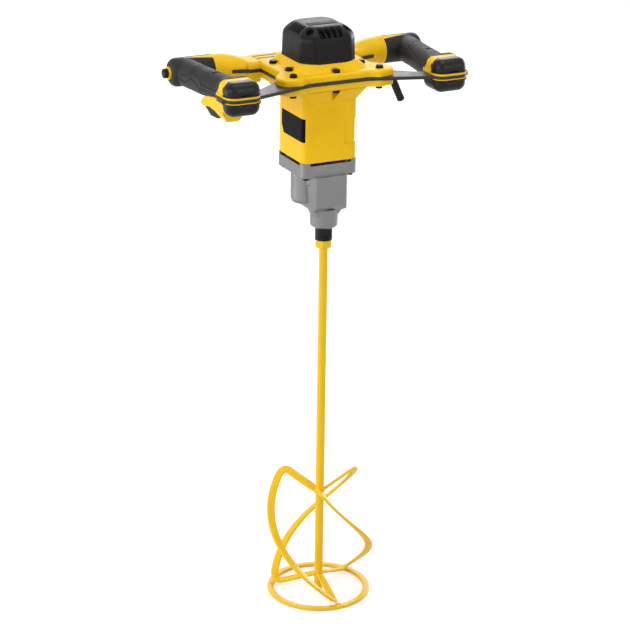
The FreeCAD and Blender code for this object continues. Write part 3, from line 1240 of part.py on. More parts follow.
def build_handles(bar):
    """Both handles: split shells, rubber elbow and grip sleeves, and the rubber bumpers on the hand guards.

    A stripe of each shell stands through its elbow cover, flush with the rubber.
    """
    arm_floor = f"({Z_GRIP} - arm_radius + arm_step)"
    foot_rise = f"(({Z_RIM} - {arm_floor}) / 2)"
    foot = slab("arm_foot", foot_rise, "arm_root_depth", "hub_corner", "arm_foot", "hub_half", "arm_root_y",
                f"{arm_floor} + {foot_rise}", ALONG_X)
    rounded_edges(foot, "arm_foot_round", edge_at("arm_foot"))
    mid_rise = "(arm_radius - arm_step - arm_sag / 2)"
    sections = [ellipse("arm_root", "arm_root_depth - 2 * arm_sag", f"{foot_rise} - arm_step", "arm_knee_x", "arm_knee_y",
                        f"{arm_floor} + {foot_rise}"),
                ellipse("arm_mid", "arm_mid_depth", mid_rise, "arm_mid_x", "arm_mid_y", f"{arm_floor} + {mid_rise}"),
                ellipse("arm_tip", "arm_radius - arm_step", "arm_radius - arm_step", "arm_collar + overcut", "elbow_y",
                        Z_GRIP)]
    arm = doc.addObject("Part::Loft", "arm")
    arm.Sections = sections
    arm.Solid = True
    collar = cylinder("arm_ring", "arm_radius", "arm_end - arm_collar", "arm_collar", "elbow_y", Z_GRIP, ALONG_X)
    elbow_core = cylinder("elbow_core", "elbow_radius - rubber", "elbow_end - 2 * rubber - arm_collar", "arm_collar",
                          "elbow_y", Z_GRIP, ALONG_X)
    grip_length = "((elbow_y + end_y) / cos(grip_toe))"
    grip_core = cylinder("grip_core", "grip_core", grip_length, "grip_root_x", "elbow_y", Z_GRIP, grip_turn())

    blocks = {}
    band_y = "(end_half - band_depth - end_y)"
    for side, low, tall, level in (("upper", f"({Z_DECK} + rim_thick)", "end_height", "end_height"),
                                   ("lower", f"({Z_BAR} - rim_thick - end_depth)", "end_depth", 0)):
        block = slab(f"{side}_block", "end_half", "end_half", "end_corner", tall, "end_x", "-end_y", low)
        rounded_edges(block, "end_round", edge_at(level))
        rear = box(f"{side}_rear", ("end_x - 2 * end_half", band_y, f"{low} - overcut"),
                   ("4 * end_half", "4 * end_half", f"{tall} + 2 * overcut"))
        core_low = low if side == "upper" else f"{low} + bumper_wall"
        core = box(f"{side}_core", ("end_x - end_half + bumper_wall", "-end_y - end_half + bumper_wall", core_low),
                   ("2 * (end_half - bumper_wall)", f"{band_y} + end_y + end_half - bumper_wall + 1",
                    f"{tall} - bumper_wall"))
        rim_low = Z_DECK if side == "upper" else f"({Z_BAR} - rim_thick)"
        rim = slab(f"{side}_rim", "end_half + rim_proud", "end_half + rim_proud", "end_corner + rim_proud",
                   "rim_thick", "end_x", "-end_y", rim_low)
        yellow = fuse(f"{side}_end", common(f"{side}_band", block, rear), core, rim)
        bumper = cut(f"{side}_bumper", block, rear, core)
        blocks[side] = (yellow, bumper, rim)

    elbow_length = "(elbow_end - arm_end)"
    cover = turned("elbow_cup", [(0, 0), ("elbow_radius", 0), ("elbow_radius", elbow_length), (0, elbow_length)],
                   "arm_end", "elbow_y", Z_GRIP, ALONG_X)
    rounded_edges(cover, "elbow_round", edge_at(elbow_length))
    wedge = prism("stripe_plan", [("arm_end - overcut", "elbow_y - stripe_front"),
                                  ("stripe_reach", "elbow_y - stripe_tip"),
                                  ("stripe_reach", "elbow_y - stripe_tip + stripe_nose"),
                                  ("arm_end - overcut", "elbow_y - stripe_rear")], "2 * elbow_radius", z=Z_GRIP)
    stripe = common("stripe", cover, wedge)

    form = fuse("handle_form", arm, foot, collar, elbow_core, grip_core, stripe, blocks["upper"][0], blocks["lower"][0])
    duct_reach = "(elbow_y - 20)"
    arm_duct = cylinder("arm_duct", "wire_radius", "grip_root_x - hub_half + 12", "hub_half - 12", "elbow_y - 4",
                        Z_GRIP, ALONG_X)
    grip_duct = cylinder("grip_duct", "wire_radius", duct_reach, "grip_root_x", "elbow_y", Z_GRIP, grip_turn())
    hollow = cut("handle_hollow", form, arm_duct, grip_duct, bar)
    span = ("3 * end_x", "4 * end_x", 200)
    above = box("above", ("-end_x / 2", "-2 * end_x", Z_SPLIT), span)
    below = box("below", ("-end_x / 2", "-2 * end_x", f"{Z_SPLIT} - 200"), span)
    upper = common("upper_half", hollow, above)
    lower = common("lower_half", hollow, below)

    sections = []
    for reach, radius in (("0", "grip_rear"), ("elbow_y / 2", "grip_waist"), (f"{grip_length} - 8", "grip_front")):
        ring = doc.addObject("Part::Circle", "grip_section")
        ring.Placement = FreeCAD.Placement(Vector(), grip_turn())
        bind(ring, Radius=radius)
        x, y = along_grip(reach)
        sections.append(place(ring, x, y, Z_GRIP))
    sleeve = doc.addObject("Part::Loft", "sleeve_loft")
    sleeve.Sections = sections
    sleeve.Solid = True
    guard = box("guard_zone", ("end_x - 3 * end_half", f"{band_y} - 4 * end_half + band_depth",
                               f"{Z_GRIP} - 3 * end_half"), ("6 * end_half", "4 * end_half", "6 * end_half"))
    elbow_cover = cut("elbow_cover", cover, elbow_core, grip_core, wedge)
    grip_sleeve = cut("grip_sleeve", sleeve, cover, grip_core, guard, blocks["upper"][2], blocks["lower"][2])
    return upper, lower, elbow_cover, grip_sleeve, blocks["upper"][1], blocks["lower"][1]


def build_controls(upper, lower, elbow_cover, grip_sleeve, upper_bumper, lower_bumper):
    """Name the handles' pieces; the left ones also take the trigger, its guard, the switch and the speed dial."""
    node(upper, "right_handle_upper_shell")
    node(lower, "right_handle_lower_shell")
    node(elbow_cover, "right_elbow_cover")
    node(grip_sleeve, "right_grip_sleeve")
    node(upper_bumper, "right_upper_bumper")
    node(lower_bumper, "right_lower_bumper")

    grip_x = "(grip_root_x - (elbow_y - (trigger_rear - trigger_front) / 2) * tan(grip_toe))"
    room_half = "(trigger_width / 2 + trigger_gap)"
    pivot = ("-trigger_front", f"{Z_GRIP} - trigger_pivot")
    slot = box("trigger_slot", (f"-{grip_x} - {room_half}", "-trigger_front - 1.3 * lever_lug",
                                f"{Z_GRIP} - 1.5 * guard_drop"),
               (f"2 * {room_half}", "trigger_front + trigger_rear + 2.3 * lever_lug", "1.5 * guard_drop"))
    guard = trigger_guard(grip_x)
    pin_hole = cylinder("pin_hole", "pin_radius + seat_clearance", "2 * pin_half", f"-{grip_x} - pin_half", *pivot,
                        ALONG_X)
    pin = cylinder("pin_bar", "pin_radius", "2 * pin_half", f"-{grip_x} - pin_half", *pivot, ALONG_X)
    node(pin, "trigger_pin")

    dial_axis = ("elbow_y", Z_GRIP)
    dial_face = "(-elbow_end - dial_proud)"
    stem_hole = cylinder("stem_hole", "dial_stem + run_clearance", "dial_proud + 4 * rubber",
                         f"{dial_face} - overcut", *dial_axis, ALONG_X)
    seat = cylinder("dial_seat", "dial_seat", "dial_proud + 2 * rubber + 1", dial_face, *dial_axis, ALONG_X)
    reach = ("2 * elbow_end", "2 * elbow_y", "elbow_radius")
    upper_seat = common("upper_seat", seat, box("seat_above", ("-2 * elbow_end", 0, Z_SPLIT), reach))
    lower_seat = common("lower_seat", seat, box("seat_below", ("-2 * elbow_end", 0, f"{Z_SPLIT} - elbow_radius"),
                                                reach))
    seat_hole = cylinder("seat_hole", "dial_seat + seat_clearance", "3 * rubber", "-elbow_end - rubber", *dial_axis,
                         ALONG_X)
    switch_low = f"({Z_GRIP} - handle_lift + carrier_gap)"
    switch = box("switch_body", (f"-{grip_x} - switch_width / 2", "-trigger_front + lever_lug", switch_low),
                 ("switch_width", "switch_length", "switch_height"))
    room = box("switch_room", (f"-{grip_x} - switch_width / 2 - trigger_gap",
                               "-trigger_front + lever_lug - carrier_gap", Z_SPLIT),
               ("switch_width + 2 * trigger_gap", "switch_length + 2 * carrier_gap",
                "switch_height + 2 * carrier_gap"))
    seated = fuse("left_upper_seated", mirror("left_upper_image", upper), upper_seat)
    node(cut("left_upper", seated, stem_hole, room), "left_handle_upper_shell")
    guarded = fuse("left_lower_guarded", mirror("left_lower_image", lower), guard, lower_seat)
    node(cut("left_lower", guarded, slot, pin_hole, stem_hole), "left_handle_lower_shell")
    node(cut("left_elbow", mirror("left_elbow_image", elbow_cover), seat_hole), "left_elbow_cover")
    node(cut("left_sleeve", mirror("left_sleeve_image", grip_sleeve), slot, guard, seat_hole), "left_grip_sleeve")
    node(mirror("left_upper_bumper_image", upper_bumper), "left_upper_bumper")
    node(cut("left_low_bumper", mirror("left_lower_bumper_image", lower_bumper), guard), "left_lower_bumper")

    lever_body = new_body("lever")
    reach = "(trigger_front + trigger_rear)"
    profile = polygon(lever_body, [("-lever_lug", "-lever_lug"), (f"{reach} * 0.13", "-lever_drop * 0.75"),
                                   (f"{reach} * 0.34", "-lever_drop * 0.97"), (f"{reach} * 0.7", "-lever_drop"),
                                   (reach, "-lever_drop * 0.75"), (reach, "-lever_lug"),
                                   ("lever_lug", "lever_lug"), ("-lever_lug", "lever_lug")], "YZ_Plane")
    lever_pad = pad(lever_body, profile, "trigger_width")
    lever_pad.Midplane = True
    place(lever_body, f"-{grip_x}", *pivot)
    lever_hole = cylinder("lever_hole", "pin_radius + run_clearance", "trigger_width + 2 * overcut",
                          f"-{grip_x} - trigger_width / 2 - overcut", *pivot, ALONG_X)
    node(cut("lever_bored", lever_body, lever_hole), "trigger")
    node(switch, "trigger_switch")

    dial = turned("dial", [(0, "dial_gap"), ("dial_radius - 1", "dial_gap"), ("dial_radius", "dial_gap + 1"),
                           ("dial_radius", "dial_gap + dial_thick - 1.5"),
                           ("dial_radius - 1.5", "dial_gap + dial_thick"), (0, "dial_gap + dial_thick")],
                  dial_face, *dial_axis, Rotation(Vector(0, 0, 1), Vector(-1, 0, 0)))
    stem = cylinder("dial_stem", "dial_stem", "3 * rubber", f"{dial_face} - dial_gap - 1", *dial_axis, ALONG_X)
    node(fuse("dial_knob", dial, stem), "speed_dial")


def trigger_guard(grip_x):
    """The arched housing under the left grip, on both sides of the trigger, down to its foot in front of it."""
    arch_body = new_body("guard_arch")
    arch = polygon(arch_body, [("guard_rear", "-arch_rise - 5"), ("guard_rear * 0.4", "-arch_rise * 0.6"),
                               ("-guard_rear * 0.4", "-arch_rise * 0.3"), ("-guard_front", "-arch_rise * 0.3"),
                               ("-guard_front", "-guard_drop * 0.9"), ("4 - guard_front", "-guard_drop"),
                               ("-guard_front * 0.7", "-guard_drop"), ("-guard_front * 0.56", "-arch_rise - 8"),
                               ("-guard_front * 0.38", "-arch_rise - 2"), ("-guard_front * 0.06", "-arch_rise"),
                               ("guard_rear * 0.7", "-arch_rise - 6")], "YZ_Plane")
    across = pad(arch_body, arch, "2 * guard_half")
    across.Midplane = True
    place(arch_body, f"-{grip_x}", 0, Z_GRIP)
    taper_body = new_body("guard_taper")
    taper = polygon(taper_body, mirrored_half([("guard_foot", "-guard_drop - overcut"),
                                               ("guard_half - 1", "-arch_rise"),
                                               ("guard_half", "-arch_rise / 2"), ("guard_half", 0)]), "XZ_Plane")
    along = pad(taper_body, taper, "4 * guard_front")
    along.Midplane = True
    place(taper_body, f"-{grip_x}", 0, Z_GRIP)
    return common("guard_form", arch_body, taper_body)


def build_sleeve():
    """The rubber sleeve that guards the power lead, bent over where it leaves the hub; its bore is open."""
    start = Vector(size("hub_half - sleeve_grip"), size("sleeve_y"), size(f"{Z_BAR} - sleeve_drop"))
    turn, bend = math.radians(size("sleeve_turn")), size("sleeve_bend")
    knee = start + Vector(size("sleeve_run + sleeve_grip"), 0, 0)
    middle = knee + Vector(bend * math.sin(turn / 2), 0, -bend * (1 - math.cos(turn / 2)))
    leave = knee + Vector(bend * math.sin(turn), 0, -bend * (1 - math.cos(turn)))
    end = leave + Vector(math.cos(turn), 0, -math.sin(turn)) * size("sleeve_hang")
    path = Part.Wire([Part.makeLine(start, knee), Part.Arc(knee, middle, leave).toShape(),
                      Part.makeLine(leave, end)])
    tubes = []
    for radius in (size("sleeve_radius"), size("sleeve_bore")):
        ring = Part.Wire([Part.makeCircle(radius, start, Vector(1, 0, 0))])
        tubes.append(path.makePipeShell([ring], True, False))
    node(made("sleeve", tubes[0].cut(tubes[1])), "cord_sleeve")


def main():
    """Build every piece, check them all and write one file for each."""
    build_paddle()
    output_low = build_spindle()
    pinion_low, wheel_low, toward_motor = build_layshaft(output_low)
    build_gear_case(pinion_low, wheel_low)
    build_motor(wheel_low, toward_motor)
    bar = build_bar()
    build_hub()
    build_cap()
    build_controls(*build_handles(bar))
    build_sleeve()
    doc.recompute()
    failed = [thing.Name for thing in doc.Objects if "Invalid" in thing.State or "Error" in thing.State]
    failed += [piece.Label for piece in NODES if piece.Shape.isNull() or not piece.Shape.isValid()]
    if failed:
        raise RuntimeError("pieces that did not build: " + ", ".join(failed))
    os.makedirs("parts", exist_ok=True)
    for piece in NODES:
        piece.Shape.exportStep(f"parts/{piece.Label}.step")
        print(f"{piece.Label}: {len(piece.Shape.Solids)} solid(s), {piece.Shape.Volume / 1000:.1f} cm3")


main()
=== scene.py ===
"""A two-handled mixing drill in a plain studio.

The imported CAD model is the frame. Each class finishes one sub-assembly: it dresses the frame's
own pieces and makes the pieces whose shape needs finer work. Sizes are in millimetres, in the
frame's axes: +Z up the spindle, +X to the right hand grip, -Y to the front.
"""
import json
import logging
import math
from dataclasses import dataclass
from enum import Enum
from typing import Sequence

import bmesh
import bpy
import numpy as np
from mathutils import Matrix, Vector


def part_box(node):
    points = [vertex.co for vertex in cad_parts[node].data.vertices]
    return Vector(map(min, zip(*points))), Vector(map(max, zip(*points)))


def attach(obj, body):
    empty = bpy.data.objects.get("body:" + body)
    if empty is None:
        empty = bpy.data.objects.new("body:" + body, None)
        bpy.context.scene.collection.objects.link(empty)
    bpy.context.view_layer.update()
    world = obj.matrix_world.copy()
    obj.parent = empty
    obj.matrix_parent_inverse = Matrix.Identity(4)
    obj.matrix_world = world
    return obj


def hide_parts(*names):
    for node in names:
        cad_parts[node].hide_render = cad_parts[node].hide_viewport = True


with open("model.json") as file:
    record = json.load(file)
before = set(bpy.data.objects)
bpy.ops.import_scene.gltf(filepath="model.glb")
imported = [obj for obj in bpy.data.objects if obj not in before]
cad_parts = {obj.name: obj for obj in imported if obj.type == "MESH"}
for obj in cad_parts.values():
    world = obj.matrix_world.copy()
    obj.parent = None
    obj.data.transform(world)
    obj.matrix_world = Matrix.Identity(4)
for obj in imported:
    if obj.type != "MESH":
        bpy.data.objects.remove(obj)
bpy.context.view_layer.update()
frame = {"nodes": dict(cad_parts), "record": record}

MM = 0.001
WAVE = 2 * math.pi / 20  # the length of a wave texture's wave at scale one
EDGE_COSINES = (0.8, 0.98)  # how far a rounded normal leans on an edge, and where flats begin
RIGHTWARD, REARWARD, UPWARD = np.eye(3)
WHITE = (1.0, 1.0, 1.0, 1.0)
LOG = logging.getLogger("mixing_drill")
Colour = tuple[float, float, float, float]
Pairs = tuple[tuple[float, float], ...]
Socket = bpy.types.NodeSocket


def linear(red: float, green: float, blue: float) -> Colour:
    """A screen colour, each channel 0 to 255, as a linear colour with full alpha."""
    channels = ((np.array([red, green, blue]) / 255.0 + 0.055) / 1.055) ** 2.4
    return (*channels.tolist(), 1.0)


def shade(colour: Colour, factor: float) -> Colour:
    """A colour made lighter or darker by a factor, kept below white."""
    return (*(min(channel * factor, 0.98) for channel in colour[:3]), 1.0)


class Grain(Enum):
    """How a surface came by its fine texture."""

    SPARK = "spark-eroded mould"
    STIPPLE = "stippled rubber"
    PEEL = "sprayed paint"
    CAST = "die-cast skin"
    TURNED = "tool marks round the spindle's axis"
    STACKED = "thin sheets stacked along the axis"
    WOUND = "lacquered wire"


class Graph:
    """A node tree, with one call for each step that the finishes and the studio share."""

    def __init__(self, owner: bpy.types.Material | bpy.types.World) -> None:
        """Turn the owner's nodes on.

        Args:
            owner: a new material or world.
        """
        owner.use_nodes = True
        self.tree = owner.node_tree

    def add(self, kind: str, **settings: object) -> bpy.types.Node:
        """A new node with its plain settings.

        Args:
            kind: the node's type.
            settings: its properties that aren't sockets.

        Returns:
            The node.
        """
        node = self.tree.nodes.new(kind)
        for name, value in settings.items():
            setattr(node, name, value)
        return node

    def feed(self, node: bpy.types.Node, values: dict[str | int, object]) -> bpy.types.Node:
        """Link a node's inputs to other sockets, or set them to constants.

        Args:
            node: the node.
            values: an output socket or a plain value for each input's name or number.

        Returns:
            The node.
        """
        for key, value in values.items():
            if isinstance(value, Socket):
                self.tree.links.new(value, node.inputs[key])
            else:
                node.inputs[key].default_value = value
        return node

    def texture(self, kind: str, scale: float, **settings: object) -> bpy.types.Node:
        """A texture node that reads Object coordinates.

        Args:
            kind: the node's type.
            scale: repeats in a metre.
            settings: its properties that aren't sockets.

        Returns:
            The node.
        """
        place = self.add("ShaderNodeTexCoord").outputs["Object"]
        return self.feed(self.add(kind, **settings), {"Vector": place, "Scale": scale})

    def noise(self, size: float, detail: float) -> Socket:
        """Cloudy noise from 0 to 1, its clouds size millimetres apart and detail octaves deep."""
        texture = self.texture("ShaderNodeTexNoise", 1 / (size * MM))
        return self.feed(texture, {"Detail": detail}).outputs[0]

    def cells(self, size: float) -> Socket:
        """Distance to the nearest of scattered points, size millimetres apart."""
        texture = self.texture("ShaderNodeTexVoronoi", 1 / (size * MM), feature="SMOOTH_F1")
        return texture.outputs["Distance"]

    def bands(self, period: float, wander: float) -> Socket:
        """Waves up the axis.

        Args:
            period: their length in millimetres.
            wander: how unevenly they run.

        Returns:
            A value from 0 to 1.
        """
        texture = self.texture("ShaderNodeTexWave", WAVE / (period * MM),
                               wave_type="BANDS", bands_direction="Z")
        return self.feed(texture, {"Distortion": wander}).outputs["Fac"]

    def spread(self, source: Socket, old: tuple[float, float],
               new: tuple[float, float] = (0.0, 1.0)) -> Socket:
        """Carry one range of a value onto another, clamped.

        Args:
            source: the value.
            old: the range that is read.
            new: the range that it is carried onto.

        Returns:
            The new value.
        """
        names = ("Value", "From Min", "From Max", "To Min", "To Max")
        ranged = self.add("ShaderNodeMapRange")
        return self.feed(ranged, dict(zip(names, (source, *old, *new)))).outputs["Result"]

    def blend(self, factor: Socket, first: object, second: object) -> Socket:
        """Mix two colours, each a socket or a plain colour."""
        mixed = self.add("ShaderNodeMix", data_type="RGBA")
        return self.feed(mixed, {0: factor, 6: first, 7: second}).outputs[2]

    def reckon(self, operation: str, first: Socket, second: Socket) -> Socket:
        """Two values joined by an operation of the Math node."""
        joined = self.add("ShaderNodeMath", operation=operation)
        return self.feed(joined, {0: first, 1: second}).outputs[0]

    def edges(self, width: float) -> tuple[Socket, Socket]:
        """The outer edges, where a rounded normal leans away from the true one.

        Args:
            width: the rounding in millimetres.

        Returns:
            A mask, 0 on flats and 1 on edges, and the rounded normal.
        """
        bevel = self.feed(self.add("ShaderNodeBevel", samples=6), {"Radius": width * MM})
        rounded = bevel.outputs[0]
        true = self.add("ShaderNodeNewGeometry").outputs["Normal"]
        lean = self.add("ShaderNodeVectorMath", operation="DOT_PRODUCT")
        cosine = self.feed(lean, {0: rounded, 1: true}).outputs["Value"]
        return self.spread(cosine, EDGE_COSINES, (1.0, 0.0)), rounded

    def bump(self, height: Socket, depth: float, under: Socket) -> Socket:
        """A normal bent by a height.

        Args:
            height: a value from 0 to 1.
            depth: the relief in millimetres.
            under: the normal to start from.

        Returns:
            The bent normal.
        """
        values = {"Distance": depth * MM, "Height": height, "Normal": under}
        return self.feed(self.add("ShaderNodeBump"), values).outputs[0]

    def seen(self) -> Socket:
        """Which rays show a surface to the camera, straight or by way of gloss or clear pieces.

        Returns:
            1 for those rays, and 0 for the light that falls on the object.
        """
        path = self.add("ShaderNodeLightPath").outputs
        by_way = self.reckon("MAXIMUM", path["Is Glossy Ray"], path["Is Transmission Ray"])
        return self.reckon("MAXIMUM", path["Is Camera Ray"], by_way)


@dataclass(frozen=True)
class Finish:
    """A surface finish. Sizes and depths of its texture are in millimetres.

    Each cloud field gives the size and the octaves of a noise.
    """

    name: str
    slot: str
    colour: Colour
    roughness: float
    grain: Grain
    grain_size: float
    grain_depth: float
    metal: float = 0.0
    coat: float = 0.0
    coat_roughness: float = 0.12
    gloss: float = 0.5
    drift: float = 0.06
    drift_clouds: tuple[float, float] = (45.0, 4.0)
    pit_range: tuple[float, float] = (0.25, 0.75)
    pit_share: float = 0.22
    pit_shade: float = 0.8
    worn: float = 1.25
    worn_width: float = 0.7
    worn_clouds: tuple[float, float] = (7.0, 5.0)
    worn_range: tuple[float, float] = (0.42, 0.62)
    smears: tuple[float, float] = (0.88, 1.14)
    smear_clouds: tuple[float, float] = (16.0, 6.0)
    cloud_range: tuple[float, float] = (0.3, 0.7)

    def height(self, graph: Graph) -> Socket:
        """The relief that this finish's grain has.

        Args:
            graph: the material's nodes.

        Returns:
            A value from 0 to 1.
        """
        if self.grain is Grain.STIPPLE:
            return graph.cells(self.grain_size)
        wander = {Grain.TURNED: 1.5, Grain.STACKED: 0.2, Grain.WOUND: 0.6}
        if self.grain in wander:
            return graph.bands(self.grain_size, wander[self.grain])
        detail = {Grain.SPARK: 3.0, Grain.PEEL: 0.5, Grain.CAST: 5.0}
        return graph.noise(self.grain_size, detail[self.grain])

    def material(self) -> bpy.types.Material:
        """The finish as a material, which is made once.

        The colour drifts over the surface, darkens in the grain and changes where the edges are
        rubbed. The roughness wanders, and the grain bends the normal.

        Returns:
            The material.
        """
        found = bpy.data.materials.get(self.name)
        if found:
            return found
        made = bpy.data.materials.new(self.name)
        graph = Graph(made)
        dark, pale = (shade(self.colour, 1 + sign * self.drift) for sign in (-1, 1))
        drifts = graph.spread(graph.noise(*self.drift_clouds), self.cloud_range)
        body = graph.blend(drifts, dark, pale)
        relief = self.height(graph)
        pits = graph.spread(relief, self.pit_range, (0.0, self.pit_share))
        pitted = graph.blend(pits, body, shade(self.colour, self.pit_shade))
        mask, rounded = graph.edges(self.worn_width)
        rubbed = graph.spread(graph.noise(*self.worn_clouds), self.worn_range)
        bared = graph.reckon("MULTIPLY", mask, rubbed)
        smooth, rough = (min(self.roughness * factor, 1.0) for factor in self.smears)
        smeared = graph.spread(graph.noise(*self.smear_clouds), self.cloud_range, (smooth, rough))
        graph.feed(graph.tree.nodes["Principled BSDF"], {
            "Base Color": graph.blend(bared, pitted, shade(self.colour, self.worn)),
            "Roughness": smeared,
            "Normal": graph.bump(relief, self.grain_depth, rounded),
            "Metallic": self.metal,
            "Specular IOR Level": self.gloss,
            "Coat Weight": self.coat,
            "Coat Roughness": self.coat_roughness})
        return made


ENAMEL = Finish("yellow_enamel", "paddle_paint", linear(242, 194, 24), 0.36,
                Grain.PEEL, 1.6, 0.05, coat=0.1, gloss=0.2, drift=0.03, worn=1.08)
BLACKENED = Finish("blackened_steel_oiled", "blackened_steel", linear(19, 18, 17), 0.34,
                   Grain.TURNED, 0.5, 0.012, metal=0.2, gloss=0.2, worn=1.8, worn_width=0.4)
GROUND = Finish("ground_gear_steel", "gear_steel", linear(178, 178, 182), 0.28,
                Grain.TURNED, 0.35, 0.01, metal=1.0)
POLISHED = Finish("polished_race_steel", "bearing_steel", linear(205, 205, 208), 0.18,
                  Grain.TURNED, 0.25, 0.006, metal=1.0)
CASTING = Finish("satin_aluminium_casting", "cast_aluminium", linear(126, 125, 126), 0.38,
                 Grain.CAST, 0.9, 0.06, metal=0.9, worn=1.3)
YELLOW = Finish("yellow_moulding", "yellow_shell", linear(250, 198, 18), 0.42,
                Grain.SPARK, 0.5, 0.03, gloss=0.16)
CHARCOAL = Finish("charcoal_moulding", "charcoal_cap", linear(27, 26, 27), 0.38,
                  Grain.SPARK, 0.6, 0.035, gloss=0.12)
GRIP = Finish("stippled_grip_rubber", "grip_rubber", linear(42, 41, 42), 0.55,
              Grain.STIPPLE, 0.9, 0.06, gloss=0.16, worn=1.2)
BUMPER = Finish("smooth_bumper_rubber", "bumper_rubber", linear(25, 24, 24), 0.34,
                Grain.SPARK, 0.8, 0.02, gloss=0.2)
BAR = Finish("bar_powder_coat", "bar_paint", linear(46, 45, 46), 0.4,
             Grain.PEEL, 0.9, 0.06, gloss=0.3, worn=1.3)
LAMINATED = Finish("stacked_laminations", "lamination_steel", linear(150, 150, 152), 0.45,
                   Grain.STACKED, 0.5, 0.05, metal=0.9)
COPPER = Finish("lacquered_copper", "copper", linear(214, 132, 74), 0.3,
                Grain.WOUND, 0.7, 0.12, metal=0.9, coat=0.4)
FILM = Finish("bare_black_film", "charcoal_cap", linear(17, 16, 16), 0.4,
              Grain.PEEL, 2.2, 0.015, gloss=0.03, drift=0.1)
PLAIN = Finish("inner_moulding", "inner_plastic", linear(92, 92, 95), 0.5,
               Grain.SPARK, 0.7, 0.03)
FRAME_FINISHES = (ENAMEL, BLACKENED, GROUND, POLISHED, CASTING, YELLOW, CHARCOAL, GRIP, BUMPER,
                  BAR, LAMINATED, COPPER, PLAIN)


def dress_frame() -> None:
    """Give every CAD node the finish of the slot that the record names for it."""
    by_slot = {finish.slot: finish for finish in FRAME_FINISHES}
    for entry in frame["record"]["subparts"]:
        finish = by_slot[entry["material_slot"]]
        mesh = frame["nodes"][entry["node"]].data
        mesh.materials.clear()
        mesh.materials.append(finish.material())
        LOG.info("%s: %s", entry["node"], finish.name)


def unit(vectors: np.ndarray) -> np.ndarray:
    """Vectors scaled to a length of one."""
    return vectors / np.linalg.norm(vectors, axis=-1, keepdims=True)


def along(line: np.ndarray) -> np.ndarray:
    """Unit vectors along a line: the difference of each point's neighbours, scaled to one."""
    return unit(np.gradient(line, axis=0))


def way_gone(line: np.ndarray) -> np.ndarray:
    """The way gone at each point of a line: the sum of the lengths of the steps before it."""
    steps = np.linalg.norm(np.diff(line, axis=0), axis=1)
    return np.concatenate([[0.0], np.cumsum(steps)])


def compass(turn: np.ndarray) -> np.ndarray:
    """Unit vectors at angles in radians, as cosine and sine."""
    return np.stack([np.cos(turn), np.sin(turn)], axis=-1)


def full_turn(count: int) -> np.ndarray:
    """Angles spaced evenly round a full turn, in radians."""
    return np.linspace(0.0, 2 * np.pi, count, endpoint=False)


def circle(count: int) -> np.ndarray:
    """Points spaced evenly round a circle with a radius of one."""
    return compass(full_turn(count))


def raised(flat: np.ndarray, height: np.ndarray) -> np.ndarray:
    """Flat rows of points, each row set at its height."""
    level = np.broadcast_to(height[:, None, None], (*flat.shape[:2], 1))
    return np.concatenate([flat, level], axis=-1)


def rounds(radius: np.ndarray, height: np.ndarray) -> np.ndarray:
    """Rows that go round Z: a point at angle t goes to r cos t, r sin t and its row's height."""
    return raised(radius[..., None] * circle(radius.shape[1]), height)


def soft_polygon(count: int, distances: Sequence[float], softness: float) -> np.ndarray:
    """The radius of a polygon with soft corners, round a full turn.

    It is the smooth least of the distances to the sides: the sum of each side's cosine over its
    distance, raised to the softness, under that root.

    Args:
        count: points in the turn.
        distances: how far each side lies from the middle, the sides spaced evenly from +X.
        softness: the power; more is sharper.

    Returns:
        A radius for each point.
    """
    facing = full_turn(len(distances))
    lean = np.clip(np.cos(full_turn(count)[:, None] - facing), 0.0, None) / distances
    return (lean ** softness).sum(axis=1) ** (-1 / softness)


def rounded_outline(half_u: float, half_v: float, corner: float, steps: int = 5) -> np.ndarray:
    """A rectangle about the origin: each corner is its centre plus a quarter circle.

    Args:
        half_u: half its width.
        half_v: half its height.
        corner: the corners' radius.
        steps: points on each corner, less one.

    Returns:
        Its points, anticlockwise, two numbers each.
    """
    signs = np.array([[1, 1], [-1, 1], [-1, -1], [1, -1]])
    turn = np.radians(90.0 * np.arange(4)[:, None] + np.linspace(0.0, 90.0, steps + 1))
    centres = signs * (half_u - corner, half_v - corner)
    return (centres[:, None, :] + corner * compass(turn)).reshape(-1, 2)


def swept(line: np.ndarray, side: np.ndarray, lift: np.ndarray, section: np.ndarray,
          capped: bool = True) -> np.ndarray:
    """A section carried along a line: the line's point plus u times side plus v times lift.

    Args:
        line: the points to follow.
        side: a unit vector, the same all along or one for each point.
        lift: another one, square to it.
        section: the outline as u and v, the same all along or one for each point.
        capped: close both ends onto the line.

    Returns:
        A grid of rows by points by three.
    """
    side, lift = (np.broadcast_to(axis, line.shape)[:, None, :] for axis in (side, lift))
    outline = np.broadcast_to(section, (len(line), *section.shape[-2:]))
    grid = line[:, None, :] + outline[..., :1] * side + outline[..., 1:] * lift
    if not capped:
        return grid
    first, last = (np.broadcast_to(line[at], grid[:1].shape) for at in (0, -1))
    return np.concatenate([first, grid, last])


def crease(place: np.ndarray, corners: np.ndarray) -> np.ndarray:
    """How far places on a flat map lie from a broken line: the least distance to its stretches.

    Args:
        place: places, two numbers each.
        corners: the line's corners in the same units.

    Returns:
        The distances.
    """
    start, run = corners[:-1], np.diff(corners, axis=0)
    away = place[..., None, :] - start
    share = np.clip((away * run).sum(-1) / (run * run).sum(-1), 0.0, 1.0)
    return np.linalg.norm(away - share[..., None] * run, axis=-1).min(axis=-1)


def grid_faces(rows: int, columns: int, closed: bool) -> np.ndarray:
    """Corner numbers of a grid's cells, where the points are stored row by row.

    Args:
        rows: rows of points.
        columns: points in a row.
        closed: whether a row's last point joins its first.

    Returns:
        Four numbers for each cell.
    """
    last = columns if closed else columns - 1
    row, column = np.meshgrid(np.arange(rows - 1) * columns, np.arange(last), indexing="ij")
    after = (column + 1) % columns
    corners = (row + column, row + after, row + columns + after, row + columns + column)
    return np.stack(corners, axis=-1).reshape(-1, 4)


